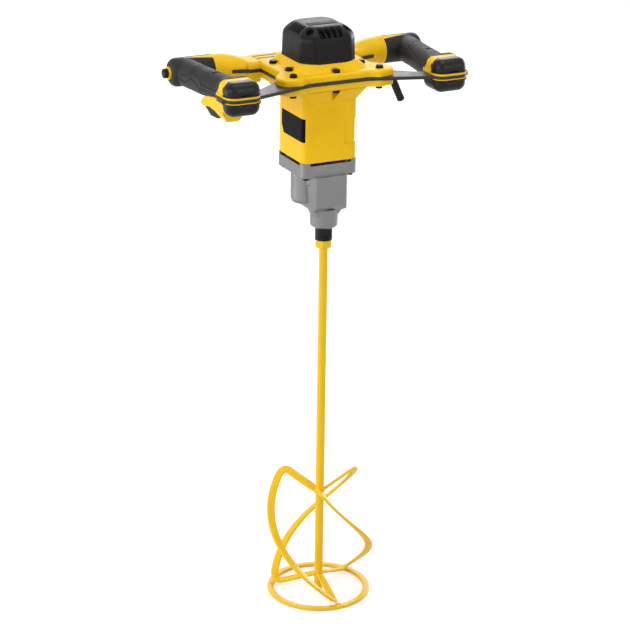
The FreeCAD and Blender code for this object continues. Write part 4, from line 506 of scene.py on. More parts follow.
def set_up(name: str, data: bpy.types.ID) -> bpy.types.Object:
    """A new object in the scene.

    Args:
        name: its name.
        data: its mesh, light or camera.

    Returns:
        The object.
    """
    made = bpy.data.objects.new(name, data)
    bpy.context.scene.collection.objects.link(made)
    return made


@dataclass
class Piece:
    """A new piece made of grids of points in millimetres."""

    name: str
    finish: Finish
    body: str = "frame"
    sharp: float = 38.0
    wall: float = 0.0
    merge: float = 1e-6

    def mesh(self, grids: Sequence[np.ndarray], closed: bool) -> bpy.types.Mesh:
        """Join grids into one mesh, merge what meets and turn the faces outwards.

        Args:
            grids: rows by points by three.
            closed: whether the rows are loops.

        Returns:
            The mesh.
        """
        starts = np.cumsum([0] + [grid.shape[0] * grid.shape[1] for grid in grids])
        points = np.concatenate([grid.reshape(-1, 3) for grid in grids]) * MM
        faces = [grid_faces(*grid.shape[:2], closed) + at for grid, at in zip(grids, starts)]
        mesh = bpy.data.meshes.new(self.name)
        mesh.from_pydata(points, [], np.concatenate(faces).tolist())
        work = bmesh.new()
        work.from_mesh(mesh)
        bmesh.ops.remove_doubles(work, verts=work.verts, dist=self.merge)
        bmesh.ops.recalc_face_normals(work, faces=work.faces)
        work.to_mesh(mesh)
        work.free()
        mesh.shade_smooth()
        mesh.set_sharp_from_angle(angle=math.radians(self.sharp))
        return mesh

    def make(self, grids: Sequence[np.ndarray], stands_for: Sequence[str] = (),
             closed: bool = True) -> None:
        """Make the piece, dress it and set it on its body.

        Args:
            grids: rows by points by three.
            stands_for: CAD nodes that it replaces.
            closed: whether the rows are loops.
        """
        mesh = self.mesh(grids, closed)
        mesh.materials.append(self.finish.material())
        made = set_up(self.name, mesh)
        if self.wall:
            skin = made.modifiers.new("wall", "SOLIDIFY")
            skin.thickness = self.wall * MM
            skin.offset = -1.0
        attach(made, self.body)
        if stands_for:
            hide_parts(*stands_for)
        LOG.info("%s: %d faces on %s, %s", self.name, len(mesh.polygons), self.body,
                 self.finish.name)


@dataclass
class Paddle:
    """The stirring paddle: a foot ring, helical ribbons, and the weld beads that join them."""

    body: str = "spindle_group"
    shaft_radius: float = 6.5
    ring_radius: float = 80.0
    ring_width: float = 10.0
    ring_thick: float = 5.0
    ring_edge: float = 1.9
    ring_points: int = 160
    ribbon_width: float = 12.0
    ribbon_thick: float = 4.5
    ribbon_edge: float = 1.7
    root_share: float = 0.75
    root_run: float = 16.0
    foot_radius: float = 70.5
    foot_seat: float = 8.0
    pitch: float = 38.0
    foot_pitch: float = 10.0
    level_until: float = 0.2
    pitched_from: float = 0.5
    foot_height: float = 26.0
    crown_height: float = 194.0
    neck_height: float = 167.0
    crown_radius: float = 66.0
    swell: float = 9.5
    skew: float = 1.25
    lag: float = 0.12
    bend: float = 11.0
    sweep: float = 141.5
    first: float = -93.6
    count: int = 3
    spoke_points: int = 12
    bend_points: int = 9
    climb_points: int = 100
    bead: float = 1.5
    bead_points: int = 10
    ripple: float = 1.7
    ripple_share: float = 0.14
    root_gap: tuple[float, float] = (0.5, 0.6)
    root_corner: float = 1.6
    root_drop: float = 1.0
    root_rise: float = 1.4
    edge_bearing: float = 4.0
    edge_run: tuple[float, float] = (-0.3, 5.5)
    edge_lift: float = 0.3
    rim_arc: tuple[float, float] = (5.0, -1.0)
    rim_drop: float = 0.6
    short_points: int = 16

    def ring(self) -> None:
        """The foot ring: a rounded rectangle turned round the axis."""
        outline = rounded_outline(self.ring_width / 2, self.ring_thick / 2, self.ring_edge)
        middle = (self.ring_radius - self.ring_width / 2, self.ring_thick / 2)
        profile = np.vstack([outline, outline[:1]]) + middle
        grid = rounds(np.repeat(profile[:, :1], self.ring_points, axis=1), profile[:, 1])
        Piece("paddle_foot_ring", ENAMEL, self.body).make([grid], ["paddle_ring"])

    def spiral(self, share: np.ndarray) -> np.ndarray:
        """The climbing stretch of a ribbon's middle.

        The radius goes from foot to crown as the square of the share, plus a skewed sine swell.

        Args:
            share: 0 at the foot and 1 at the crown.

        Returns:
            Points for a ribbon that starts along +X.
        """
        turn = -math.radians(self.sweep) * share
        bulge = self.swell * np.sin(np.pi * share ** self.skew)
        radius = self.foot_radius + (self.crown_radius - self.foot_radius) * share ** 2 + bulge
        climb = share - self.lag * share * (1 - share)
        height = self.foot_seat + (self.crown_height - self.foot_seat) * climb
        return np.stack([radius * np.cos(turn), radius * np.sin(turn), height], axis=-1)

    def line(self) -> np.ndarray:
        """A ribbon's middle: spoke, bend, spiral, bend and spoke.

        A bend is a parabola that touches both of its neighbours.

        Returns:
            Points for a ribbon that starts along +X.
        """
        share = np.linspace(0.0, 1.0, self.bend_points)[:, None]

        def bent(start: np.ndarray, corner: np.ndarray, end: np.ndarray) -> np.ndarray:
            """A parabola from start to end that leaves and arrives towards the corner."""
            return start * (1 - share) ** 2 + corner * 2 * share * (1 - share) + end * share ** 2

        turn = math.radians(self.sweep)
        low, high = (self.bend / (size * turn) for size in (self.foot_radius, self.crown_radius))
        outward = np.array([math.cos(turn), -math.sin(turn), 0.0])
        inner = RIGHTWARD * self.shaft_radius / 2 + UPWARD * self.foot_height
        corner = RIGHTWARD * self.foot_radius + UPWARD * self.foot_seat
        landing = corner - RIGHTWARD * self.bend
        drop = (self.crown_height - self.neck_height) * self.bend / self.crown_radius
        leaving = outward * (self.crown_radius - self.bend) + UPWARD * (self.crown_height - drop)
        hub = outward * self.shaft_radius / 2 + UPWARD * self.neck_height
        lower = bent(landing, corner, self.spiral(np.array(low)))
        upper = bent(self.spiral(np.array(1 - high)), self.spiral(np.array(1.0)), leaving)
        climb = self.spiral(np.linspace(low, 1 - high, self.climb_points)[1:-1])
        return np.concatenate([np.linspace(inner, landing, self.spoke_points)[:-1], lower, climb,
                               upper, np.linspace(leaving, hub, self.spoke_points)[1:]])

    def turned_to(self, points: np.ndarray, index: int) -> np.ndarray:
        """Points of the first ribbon, turned round the axis.

        Args:
            points: the points.
            index: the number of the ribbon that they are turned to, from 0.

        Returns:
            The turned points.
        """
        angle = math.radians(self.first + index * 360.0 / self.count)
        sine, cosine = math.sin(angle), math.cos(angle)
        return points @ np.array([[cosine, sine, 0.0], [-sine, cosine, 0.0], UPWARD])

    def ribbons(self) -> None:
        """The flat bars: a rounded rectangle carried along the line, pitched like a blade.

        They lie flatter at the foot, and the pitch grows as a smooth step of the way gone. The
        bar is slimmer at the shaft.
        """
        line = self.line()
        ahead, gone = along(line), way_gone(line)
        eased = (gone / gone[-1] - self.level_until) / (self.pitched_from - self.level_until)
        eased = np.clip(eased, 0.0, 1.0)
        growth = eased ** 2 * (3 - 2 * eased)
        pitch = np.radians(self.foot_pitch + (self.pitch - self.foot_pitch) * growth)[:, None]
        about = unit(np.cross(UPWARD, line))
        side = unit(np.cross(ahead, about * np.sin(pitch) + UPWARD * np.cos(pitch)))
        near = np.minimum(gone, gone[-1] - gone)
        slim = self.root_share + (1 - self.root_share) * np.clip(near / self.root_run, 0.0, 1.0)
        outline = rounded_outline(self.ribbon_width / 2, self.ribbon_thick / 2,
                                  self.ribbon_edge, steps=4)
        section = outline * np.stack([slim, np.ones_like(slim)], axis=-1)[:, None, :]
        grid = swept(line, side, np.cross(side, ahead), section)
        for index in range(self.count):
            Piece(f"paddle_ribbon_bar_{index + 1}", ENAMEL, self.body).make(
                [self.turned_to(grid, index)], [f"paddle_ribbon_{index + 1}"])

    def seam(self, line: np.ndarray, outward: np.ndarray, ring: bool = False) -> np.ndarray:
        """A weld bead: a circle carried along a line, its radius rippling as a sine.

        Args:
            line: the bead's middle.
            outward: a unit vector away from the metal at each point.
            ring: whether the bead closes on itself.

        Returns:
            A grid of rows by points by three.
        """
        ahead = along(np.vstack([line[-2:-1], line, line[1:2]]))[1:-1] if ring else along(line)
        gone = way_gone(line)
        turns = max(round(gone[-1] / self.ripple), 1) / gone[-1]
        radius = self.bead * (1 + self.ripple_share * np.sin(2 * np.pi * turns * gone))
        section = circle(self.bead_points) * radius[:, None, None]
        return swept(line, np.cross(ahead, outward), outward, section, capped=not ring)

    def welds(self) -> None:
        """Beads round each spoke's root on the shaft, and at each ribbon's foot on the ring.

        A root's bead is a rounded rectangle, turned by the bar's pitch and wrapped on the shaft.
        """
        loop = rounded_outline(self.ribbon_width * self.root_share / 2 + self.root_gap[0],
                               self.ribbon_thick / 2 + self.root_gap[1], self.root_corner,
                               steps=9)
        wide, thick = np.vstack([loop, loop[:1]]).T

        def level(angle: np.ndarray) -> np.ndarray:
            """Level unit vectors at angles in radians."""
            return np.pad(compass(angle), ((0, 0), (0, 1)))

        grids = []
        for bearing, height, lean in (
                (0.0, self.foot_height - self.root_drop, self.foot_pitch),
                (-self.sweep, self.neck_height + self.root_rise, self.pitch)):
            cosine, sine = compass(math.radians(lean))
            wrapped = (thick * sine - wide * cosine) / self.shaft_radius
            outward = level(math.radians(bearing) + wrapped)
            rise = wide * sine + thick * cosine + height
            line = outward * self.shaft_radius + np.outer(rise, UPWARD)
            grids.append(self.seam(line, outward, ring=True))
        inner = self.ring_radius - self.ring_width
        reach = inner + np.linspace(*self.edge_run, self.short_points)[:, None]
        edge = reach * level(np.radians([self.edge_bearing]))
        edge = edge + UPWARD * (self.ring_thick + self.edge_lift)
        grids.append(self.seam(edge, np.broadcast_to(UPWARD, edge.shape)))
        outward = level(np.radians(np.linspace(*self.rim_arc, self.short_points)))
        rim = outward * inner + UPWARD * (self.ring_thick - self.rim_drop)
        grids.append(self.seam(rim, outward))
        beads = [self.turned_to(bead, index) for bead in grids for index in range(self.count)]
        Piece("paddle_weld_beads", ENAMEL, self.body, sharp=60.0).make(beads)

    def build(self) -> None:
        """Make the ring, the ribbons and their welds."""
        self.ring()
        self.ribbons()
        self.welds()


class Side(Enum):
    """Which hand a piece serves, as the sign of its X."""

    LEFT = -1.0
    RIGHT = 1.0


@dataclass
class Grip:
    """A rubber grip: a tube that thickens to the front, with parting grooves and a small slot.

    Places on it are given as the way from its root and the angle from the inner side over the
    top, in degrees.
    """

    side: Side
    root_x: float = 181.5
    root_y: float = 97.0
    height: float = 831.0
    toe: float = 6.5
    length: float = 129.0
    rear_radius: float = 20.5
    waist_radius: float = 20.0
    front_radius: float = 22.0
    waist_at: float = 48.5
    front_at: float = 146.0
    groove_depth: float = 1.2
    groove_half: float = 0.85
    slot_depth: float = 2.6
    slot_half: float = 1.7
    slot_power: float = 8.0
    below: float = 270.0
    opening_from: float = 67.5
    opening_half: float = 41.0
    opening_slack: float = 0.1
    wall: float = 2.0
    rows: int = 230
    columns: int = 216
    map_seam: float = -60.0
    grooves: tuple[Pairs, ...] = (
        ((12.0, 194.0), (40.0, 194.0), (54.0, 166.0), (73.0, 181.0), (78.0, 196.0),
         (78.0, 216.0)),
        ((24.0, 20.0), (40.0, 23.0), (53.0, 28.0), (46.0, 88.0), (47.0, 109.0), (50.0, 143.0),
         (47.0, 154.0), (26.0, 168.0)),
        ((56.0, 138.0), (79.0, 154.0), (83.0, 173.0), (126.0, 172.0)),
        ((80.0, 191.0), (126.0, 192.0)),
        ((60.0, 40.0), (80.0, 24.0), (126.0, 12.0)))
    slot: Pairs = ((94.0, 84.0), (94.0, 107.0))

    def radius(self, way: np.ndarray) -> np.ndarray:
        """The plain tube's radius: the parabola through its rear, waist and front radii."""
        radii = [self.rear_radius, self.waist_radius, self.front_radius]
        return np.polyval(np.polyfit([0.0, self.waist_at, self.front_at], radii, 2), way)

    def surface(self, way: np.ndarray, angle: np.ndarray) -> np.ndarray:
        """The tube less its grooves, each a bell curve of the distance to its line when unrolled.

        Args:
            way: distances from the root.
            angle: degrees from the inner side over the top.

        Returns:
            A grid of rows by points by three.
        """
        far, round_it = np.meshgrid(way, angle, indexing="ij")
        per_degree = math.radians(1.0) * self.waist_radius
        unrolled = (round_it - self.map_seam) % 360.0 + self.map_seam
        place = np.stack([far, unrolled * per_degree], axis=-1)
        grooved = [crease(place, np.array(line) * (1.0, per_degree)) for line in self.grooves]
        slotted = crease(place, np.array(self.slot) * (1.0, per_degree))
        depth = np.maximum(
            self.groove_depth * np.exp(-(np.min(grooved, axis=0) / self.groove_half) ** 2),
            self.slot_depth / (1 + (slotted / self.slot_half) ** self.slot_power))
        radius = self.radius(far) - depth
        inward, up = np.moveaxis(radius[..., None] * compass(np.radians(round_it)), -1, 0)
        cosine, sine = compass(math.radians(self.toe))
        x = self.root_x - far * sine - inward * cosine
        y = self.root_y - far * cosine + inward * sine
        return np.stack([self.side.value * x, y, self.height + up], axis=-1)

    def build(self) -> None:
        """Make the grip; the left one is open below, where the trigger moves."""
        way = np.linspace(0.0, self.length, self.rows)
        first = self.below + self.opening_half - 360.0
        angle = np.linspace(first, first + 360.0, self.columns + 1)
        skins = [self.surface(way, angle)]
        if self.side is Side.LEFT:
            split = int(np.searchsorted(way, self.opening_from))
            kept = angle[angle <= self.below - self.opening_half + self.opening_slack]
            skins = [self.surface(way[:split + 1], angle), self.surface(way[split:], kept)]
        name = self.side.name.lower()
        Piece(f"{name}_grip_rubber", GRIP, wall=self.wall, sharp=60.0).make(
            skins, [f"{name}_grip_sleeve"], closed=False)


@dataclass
class EndPads:
    """The rubber on a handle's end block: pillows over its nose, a collar, lips and bar edging.

    Places are given as the way back from the nose and the place on the arch from one foot over
    the top to the other. A lip's section is how far its middle lies outside the block, half its
    depth and half its height.
    """

    side: Side
    middle_x: float = 165.0
    middle_y: float = -56.0
    half: float = 26.2
    corner: float = 14.7
    bend: float = 13.0
    upper_level: float = 835.0
    upper_height: float = 19.7
    lower_level: float = 824.0
    lower_height: float = 18.4
    nose_side: float = 19.5
    nose_top: float = 22.0
    long_side: float = 44.4
    collar_side: float = 44.0
    collar_top: float = 36.0
    collar_end: float = 51.6
    collar_bend: float = 10.7
    edge: float = 1.2
    wall: float = 0.8
    sharp: float = 50.0
    upper_lip: tuple[float, float, float] = (0.5, 1.1, 0.8)
    upper_lip_level: float = 835.7
    lower_lip: tuple[float, float, float] = (0.9, 1.3, 1.3)
    lower_lip_level: float = 824.4
    bar_lip: tuple[float, float, float] = (0.1, 0.9, 2.4)
    bar_level: float = 829.5
    lip_round: float = 0.9
    wall_columns: int = 12
    top_columns: int = 24
    rows: int = 14

    def arch(self) -> tuple[np.ndarray, np.ndarray, np.ndarray]:
        """The arch's columns: wall, shoulder, flat top, shoulder and wall.

        Returns:
            The share of the flat top, the share of the wall, and the angle round the shoulder.
        """
        up = np.linspace(0.0, 1.0, self.wall_columns)
        over = np.linspace(-1.0, 1.0, self.top_columns)
        bend = np.linspace(np.pi, np.pi / 2, self.wall_columns)[1:-1]
        share = np.pad(over, len(up) + len(bend), constant_values=(-1.0, 1.0))
        rise = np.concatenate([up, np.ones(len(over) + 2 * len(bend)), up[::-1]])
        angle = np.concatenate([np.full_like(up, np.pi), bend, np.full_like(over, np.pi / 2),
                                np.pi - bend[::-1], np.zeros_like(up)])
        return share, rise, angle

    def skin(self, way: np.ndarray, height: float, bend: float,
             shrink: float = 0.0) -> np.ndarray:
        """The block's surface.

        Towards nose and rear the arch narrows as the plan's round corners and sinks as a round
        edge of the shoulders' radius.

        Args:
            way: the way back from the nose at each place, rows by columns of the arch.
            height: the arch's height.
            bend: the radius of its shoulders.
            shrink: how far under the surface.

        Returns:
            A grid: across, back and up.
        """
        share, rise, angle = self.arch()
        near = np.clip(np.minimum(way, 2 * self.half - way), 0.0, None)
        plan = self.corner - np.minimum(near, self.corner)
        width = self.half - self.corner + np.sqrt(self.corner ** 2 - plan ** 2) - shrink
        dip = bend - np.minimum(near, bend)
        shoulder = np.sqrt(np.maximum(bend ** 2 - dip ** 2, 0.0))
        top = height - bend + shoulder - shrink
        across = share * (width - shoulder) + shoulder * np.cos(angle)
        up = rise * (top - shoulder) + shoulder * np.sin(angle)
        return np.stack([across, way, up], axis=-1)

    def pillow(self, height: float, ends: np.ndarray) -> np.ndarray:
        """The nose: rows close up where it turns to the front, which closes on its foot's middle.

        Args:
            height: the arch's height.
            ends: how far back it reaches in each column.

        Returns:
            A grid: across, back and up.
        """
        nose = self.corner * (1 - np.cos(np.linspace(0.0, np.pi / 2, self.rows)))
        back = nose[-1] + np.linspace(0.0, 1.0, self.rows)[1:, None] * (ends - nose[-1])
        way = np.concatenate([np.repeat(nose[:, None], len(ends), axis=1), back])
        grid = self.skin(way, height, self.bend)
        edge = self.skin(ends[None, :], height, self.bend, self.edge)
        return np.concatenate([np.zeros_like(grid[:1]), grid, edge])

    def collar(self) -> np.ndarray:
        """The rubber that runs on from the grip: rows close up towards the rear.

        Returns:
            A grid: across, back and up.
        """
        _, rise, _ = self.arch()
        start = self.collar_side + (self.collar_top - self.collar_side) * rise
        steps = np.sin(np.linspace(0.0, np.pi / 2, self.rows))[:, None]
        way = start + steps * (self.collar_end - start)
        edge = self.skin(start[None, :], self.upper_height, self.collar_bend, self.edge)
        return np.concatenate([edge, self.skin(way, self.upper_height, self.collar_bend)])

    def lay(self, label: str, finish: Finish, grid: np.ndarray, level: float, sign: float = 1.0,
            stands_for: Sequence[str] = ()) -> None:
        """Make a skin a piece with a wall, set on the handle.

        Args:
            label: the piece's name after its side.
            finish: its finish.
            grid: the skin.
            level: the height of its foot.
            sign: 1 to stand on its foot and -1 to hang from it.
            stands_for: CAD nodes that it replaces.
        """
        spot = (self.side.value * self.middle_x, self.middle_y - self.half, level)
        Piece(f"{self.side.name.lower()}_{label}", finish, wall=self.wall, sharp=self.sharp).make(
            [grid * (1.0, 1.0, sign) + spot], stands_for, closed=False)

    def lip(self, section: tuple[float, float, float], level: float, back: float) -> np.ndarray:
        """A lip round the nose: a rounded bar carried along the plan from side to side.

        Args:
            section: its outset, half depth and half height.
            level: the height of its middle.
            back: how far back it reaches.

        Returns:
            A grid of rows by points by three.
        """
        outset, deep, tall = section
        size = self.half + outset
        plan = rounded_outline(size, size, self.corner + outset, steps=12)
        ends = np.array([[-size, back - self.half], [size, back - self.half]])
        path = np.pad(np.vstack([ends[:1], plan[len(plan) // 2:], ends[1:]]), ((0, 0), (0, 1)))
        outline = rounded_outline(deep, tall, min(deep, tall) * self.lip_round, steps=4)
        spot = (self.side.value * self.middle_x, self.middle_y, level)
        return swept(path + spot, np.cross(along(path), UPWARD), UPWARD, outline)

    def build(self) -> None:
        """Make the pillows, the collar, the lips and the bar's edging.

        The right lower pillow runs on to the rear.
        """
        name = self.side.name.lower()
        _, rise, _ = self.arch()
        ends = self.nose_side + (self.nose_top - self.nose_side) * rise
        lower_end = self.nose_side if self.side is Side.LEFT else self.long_side
        upper = self.pillow(self.upper_height, ends)
        self.lay("upper_pillow", BUMPER, upper, self.upper_level,
                 stands_for=[f"{name}_upper_bumper"])
        lower = self.pillow(self.lower_height, np.full_like(rise, lower_end))
        self.lay("lower_pillow", BUMPER, lower, self.lower_level, -1.0, [f"{name}_lower_bumper"])
        self.lay("grip_collar", GRIP, self.collar(), self.upper_level)
        lips = [self.lip(self.upper_lip, self.upper_lip_level, self.nose_side),
                self.lip(self.lower_lip, self.lower_lip_level, lower_end)]
        Piece(f"{name}_pillow_lips", BUMPER, sharp=self.sharp).make(lips)
        edging = self.lip(self.bar_lip, self.bar_level, self.long_side)
        Piece(f"{name}_bar_edging", BAR, sharp=self.sharp).make([edging])


@dataclass
class CapShell:
    """The slotted motor cap: a chamfered square drawn up to a round shoulder, with openings.

    The lining and the profile are given as the outline's half width and the height.
    """

    middle_y: float = 25.0
    half: float = 43.0
    chamfer: float = 15.0
    softness: float = 26.0
    lining: Pairs = ((0.0, 886.5), (30.0, 886.5), (41.5, 880.0), (42.6, 844.0))
    profile: Pairs = ((45.6, 844.0), (45.6, 850.5), (45.0, 856.0), (44.2, 884.0), (43.4, 888.5),
                      (41.2, 892.6), (37.0, 896.8), (31.8, 900.6), (27.5, 902.5), (23.0, 903.0),
                      (12.0, 903.0), (0.0, 903.0))
    lining_rows: int = 30
    rows: int = 190
    columns: int = 420
    smoothing: int = 3
    front_reach: float = 1.04
    rear_reach: float = 1.13
    face_from: float = 20.0
    soft: float = 0.35
    window_half: float = 3.3
    window_soft: float = 0.5
    window_pitch: float = 10.0
    window_count: int = 4
    window_low: float = 888.2
    window_top: float = 900.8
    slot_half: float = 1.3
    slot_pitch: float = 6.8
    slot_count: int = 5
    slot_low: float = 892.8
    slot_top: float = 901.0
    well_place: float = 30.0
    well_radius: float = 5.2
    depth: float = 8.0
    lean_from: float = 886.0
    lean_run: float = 14.0
    lean_share: float = 0.7

    @staticmethod
    def paced(corners: Pairs, count: int) -> np.ndarray:
        """Points spaced evenly along a broken line.

        Args:
            corners: the line's corners.
            count: how many points.

        Returns:
            A row of half widths and a row of heights.
        """
        line = np.array(corners)
        gone = way_gone(line)
        way = np.linspace(0.0, gone[-1], count)
        return np.array([np.interp(way, gone, column) for column in line.T])

    def pressed(self, place: np.ndarray) -> np.ndarray:
        """How far the openings are pressed in: each is a product of smooth steps.

        Args:
            place: a grid about the cap's own axis.

        Returns:
            A depth for each point.
        """
        across, back, level = np.moveaxis(place, -1, 0)

        def step(value: np.ndarray, soften: float = self.soft) -> np.ndarray:
            """0 well below zero and 1 well above it."""
            return 1 / (1 + np.exp(-np.clip(value / soften, -40.0, 40.0)))

        def between(low: float, top: float) -> np.ndarray:
            """1 from one height to another."""
            return step(top - level) * step(level - low)

        def lined_up(count: int, pitch: float) -> np.ndarray:
            """Places spaced evenly about the middle."""
            return (np.arange(count) - (count - 1) / 2) * pitch

        windows = sum(step(self.window_half - np.abs(across - middle), self.window_soft)
                      for middle in lined_up(self.window_count, self.window_pitch))
        windows = windows * between(self.window_low, self.window_top)
        slots = sum(step(self.slot_half - np.abs(back - middle))
                    for middle in lined_up(self.slot_count, self.slot_pitch))
        slots = slots * between(self.slot_low, self.slot_top)
        away = np.hypot(np.abs(across) - self.well_place, np.abs(back) - self.well_place)
        cut = (windows * step(-back - self.face_from) + step(self.well_radius - away)
               + slots * step(np.abs(across) - self.face_from))
        return np.clip(cut, 0.0, 1.0) * self.depth

    def build(self) -> None:
        """Lay the soft outline round the lining and the profile and press the openings in.

        Up the shoulder the way in leans over from level to downwards.
        """
        lining = self.paced(self.lining, self.lining_rows)
        profile = self.paced(self.profile, self.rows)
        window = np.full(2 * self.smoothing + 1, 1 / (2 * self.smoothing + 1))
        profile[:, self.smoothing:-self.smoothing] = [
            np.convolve(line, window, "valid") for line in profile]
        size, height = np.concatenate([lining, profile], axis=1)
        slant = (2 * self.half - self.chamfer) / math.sqrt(2.0)
        radius = soft_polygon(self.columns, [self.half, slant] * 4, self.softness)
        place = rounds(np.outer(size / self.half, radius), height)
        place[..., 1] *= np.where(place[..., 1] > 0.0, self.rear_reach, self.front_reach)
        press = self.pressed(place)
        press[:self.lining_rows] = 0.0
        lean = np.clip((height - self.lean_from) / self.lean_run, 0.0, 1.0)[:, None]
        inward = press * np.sqrt(1 - self.lean_share * lean)
        place[..., :2] -= inward[..., None] * circle(self.columns)
        place[..., 2] -= press * np.sqrt(self.lean_share * lean)
        Piece("cap_shell", CHARCOAL, sharp=42.0).make([place + REARWARD * self.middle_y],
                                                      ["motor_cap"])


@dataclass
class Fasteners:
    """The flanged hexagon bolts of the hub, with dished heads, and their shanks to the nuts."""

    places: Pairs = ((69.0, -34.0), (-69.0, -34.0), (0.0, -33.0), (58.5, 3.0), (-58.5, 3.0),
                     (61.0, 51.0), (-61.0, 51.0))
    seat: float = 842.0
    flange: float = 5.9
    across: float = 9.0
    lowered: float = 0.9
    shank: float = 3.0
    chamfer: float = 0.9
    rim_share: float = 0.97
    points: int = 72

    def head(self, low: float, top: float) -> np.ndarray:
        """One bolt: rows of circles and hexagons.

        A hexagon's radius is half its width over the cosine of the angle from its side's middle.

        Args:
            low: the shank's lower end.
            top: the head's top.

        Returns:
            A grid about the bolt's own axis.
        """
        half, side = self.across / 2, np.pi / 3
        hexagon = half / np.cos((full_turn(self.points) + side / 2) % side - side / 2)
        rim, seat = half * self.rim_share, self.seat
        rows = (  # height, radius, and 1 for a hexagon in place of that circle
            (low, 0.0, 0), (low, self.shank - 0.6, 0), (low + 0.8, self.shank, 0),
            (seat, self.shank, 0), (seat, self.flange - 0.2, 0), (seat + 0.3, self.flange, 0),
            (seat + 0.9, self.flange, 0), (seat + 1.2, self.flange - 0.25, 0),
            (seat + 1.9, half + 0.75, 0), (seat + 2.1, 0.0, 1), (top - self.chamfer, 0.0, 1),
            (top, rim, 0), (top, rim - 0.8, 0), (top - 0.35, rim - 1.3, 0), (top - 0.45, 0.0, 0))
        height, plain, hexed = np.array(rows).T[..., None]
        return rounds(np.where(hexed == 1, hexagon, plain), height[:, 0])

    def build(self) -> None:
        """Set a bolt in each place."""
        low, top = (corner[2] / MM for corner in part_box("hub_bolts"))
        one = self.head(low, top - self.lowered)
        Piece("hub_flange_bolts", BLACKENED, sharp=25.0).make(
            [one + (x, y, 0.0) for x, y in self.places], ["hub_bolts"])


@dataclass
class Dial:
    """The speed dial: a fluted knob on the left elbow with a raised mark across its face."""

    face: float = -214.3
    back: float = -207.8
    axis_y: float = 97.0
    axis_z: float = 831.0
    radius: float = 7.0
    flutes: int = 20
    flute_depth: float = 0.7
    points: int = 240
    mark: float = 0.55
    mark_from: float = 0.6
    mark_to: float = 4.3
    mark_sunk: float = 0.4
    mark_tip: float = 0.05
    mark_points: int = 12

    def knob(self) -> np.ndarray:
        """The knob: rows from its back to its face, its rim fluted by a squared cosine.

        Returns:
            A grid of rows by points by three.
        """
        deep, radius = self.back - self.face, self.radius
        rows = (  # the way out, the radius, and the share of the flutes' depth
            (0.0, 0.0, 0), (0.0, radius - 0.9, 0), (0.35, radius - 0.2, 0.3), (0.9, radius, 1),
            (deep - 1.3, radius, 1), (deep - 0.5, radius - 0.35, 0.7), (deep, radius - 1.3, 0),
            (deep, radius - 2.0, 0), (deep - 0.4, radius - 2.5, 0), (deep - 0.4, 0.0, 0))
        out, size, fluted = np.array(rows).T[..., None]
        wave = (0.5 + 0.5 * np.cos(self.flutes * full_turn(self.points))) ** 2
        grid = rounds(size - self.flute_depth * fluted * wave, self.back - out[:, 0])
        return np.roll(grid, 1, axis=-1) + (0.0, self.axis_y, self.axis_z)

    def build(self) -> None:
        """Make the knob and its mark, a round bar whose ends are rounded by a fourth power."""
        reach = np.linspace(self.mark_from, self.mark_to, self.mark_points)
        line = np.outer(reach, UPWARD) + (self.face + self.mark_sunk, self.axis_y, self.axis_z)
        taper = np.linspace(-1.0, 1.0, self.mark_points) ** 4
        size = self.mark * np.sqrt(np.clip(1 - taper, self.mark_tip, 1.0))
        section = circle(self.mark_points) * size[:, None, None]
        mark = swept(line, RIGHTWARD, REARWARD, section)
        Piece("speed_dial_knob", CHARCOAL, "speed_knob").make([self.knob(), mark], ["speed_dial"])


@dataclass
class LeadSleeve:
    """The bent rubber sleeve under the hub: a tube with moulded rings and a rounded lip."""

    start: tuple[float, float, float] = (62.0, -8.0, 818.0)
    run: float = 34.0
    bend: float = 12.0
    turn: float = 65.0
    hang: float = 32.0
    radius: float = 5.8
    bore: float = 4.2
    pitch: float = 4.0
    notch: float = 0.8
    smooth_until: float = 40.0
    plain_end: float = 3.0
    lip_run: float = 1.2
    lip_depth: float = 0.7
    points: int = 40
    run_rows: int = 50
    bend_rows: int = 40
    hang_rows: int = 60

    def line(self) -> np.ndarray:
        """The sleeve's middle: a straight, an arc and a straight.

        Returns:
            Its points.
        """
        turn = np.radians(np.linspace(0.0, self.turn, self.bend_rows))
        ahead = np.linspace(0.0, self.run, self.run_rows)[:-1, None] * (1.0, 0.0)
        arc = (self.run, -self.bend) + self.bend * np.stack([np.sin(turn), np.cos(turn)], axis=-1)
        slope = (math.cos(turn[-1]), -math.sin(turn[-1]))
        fall = np.linspace(0.0, self.hang, self.hang_rows)[1:, None] * slope
        x, z = np.concatenate([ahead, arc, arc[-1] + fall]).T
        return np.stack([x, np.zeros_like(x), z], axis=-1) + self.start

    def build(self) -> None:
        """Carry circles along the line; a cosine to the sixth power notches the outer ones."""
        line = self.line()
        gone = way_gone(line)
        left = gone[-1] - gone
        rings = np.cos(np.pi * (gone - self.smooth_until) / self.pitch) ** 6
        ringed = (gone > self.smooth_until) & (left > self.plain_end)
        lip = np.clip(1 - left / self.lip_run, 0.0, 1.0)
        outer = self.radius - self.notch * rings * ringed - self.lip_depth * lip ** 2
        lift = np.cross(along(line), REARWARD)
        skin, hole = (swept(line, REARWARD, lift, circle(self.points) * size, capped=False)
                      for size in (outer[:, None, None], self.bore))
        Piece("lead_sleeve", BUMPER, sharp=45.0).make(
            [np.concatenate([skin, hole[::-1], skin[:1]])], ["cord_sleeve"])


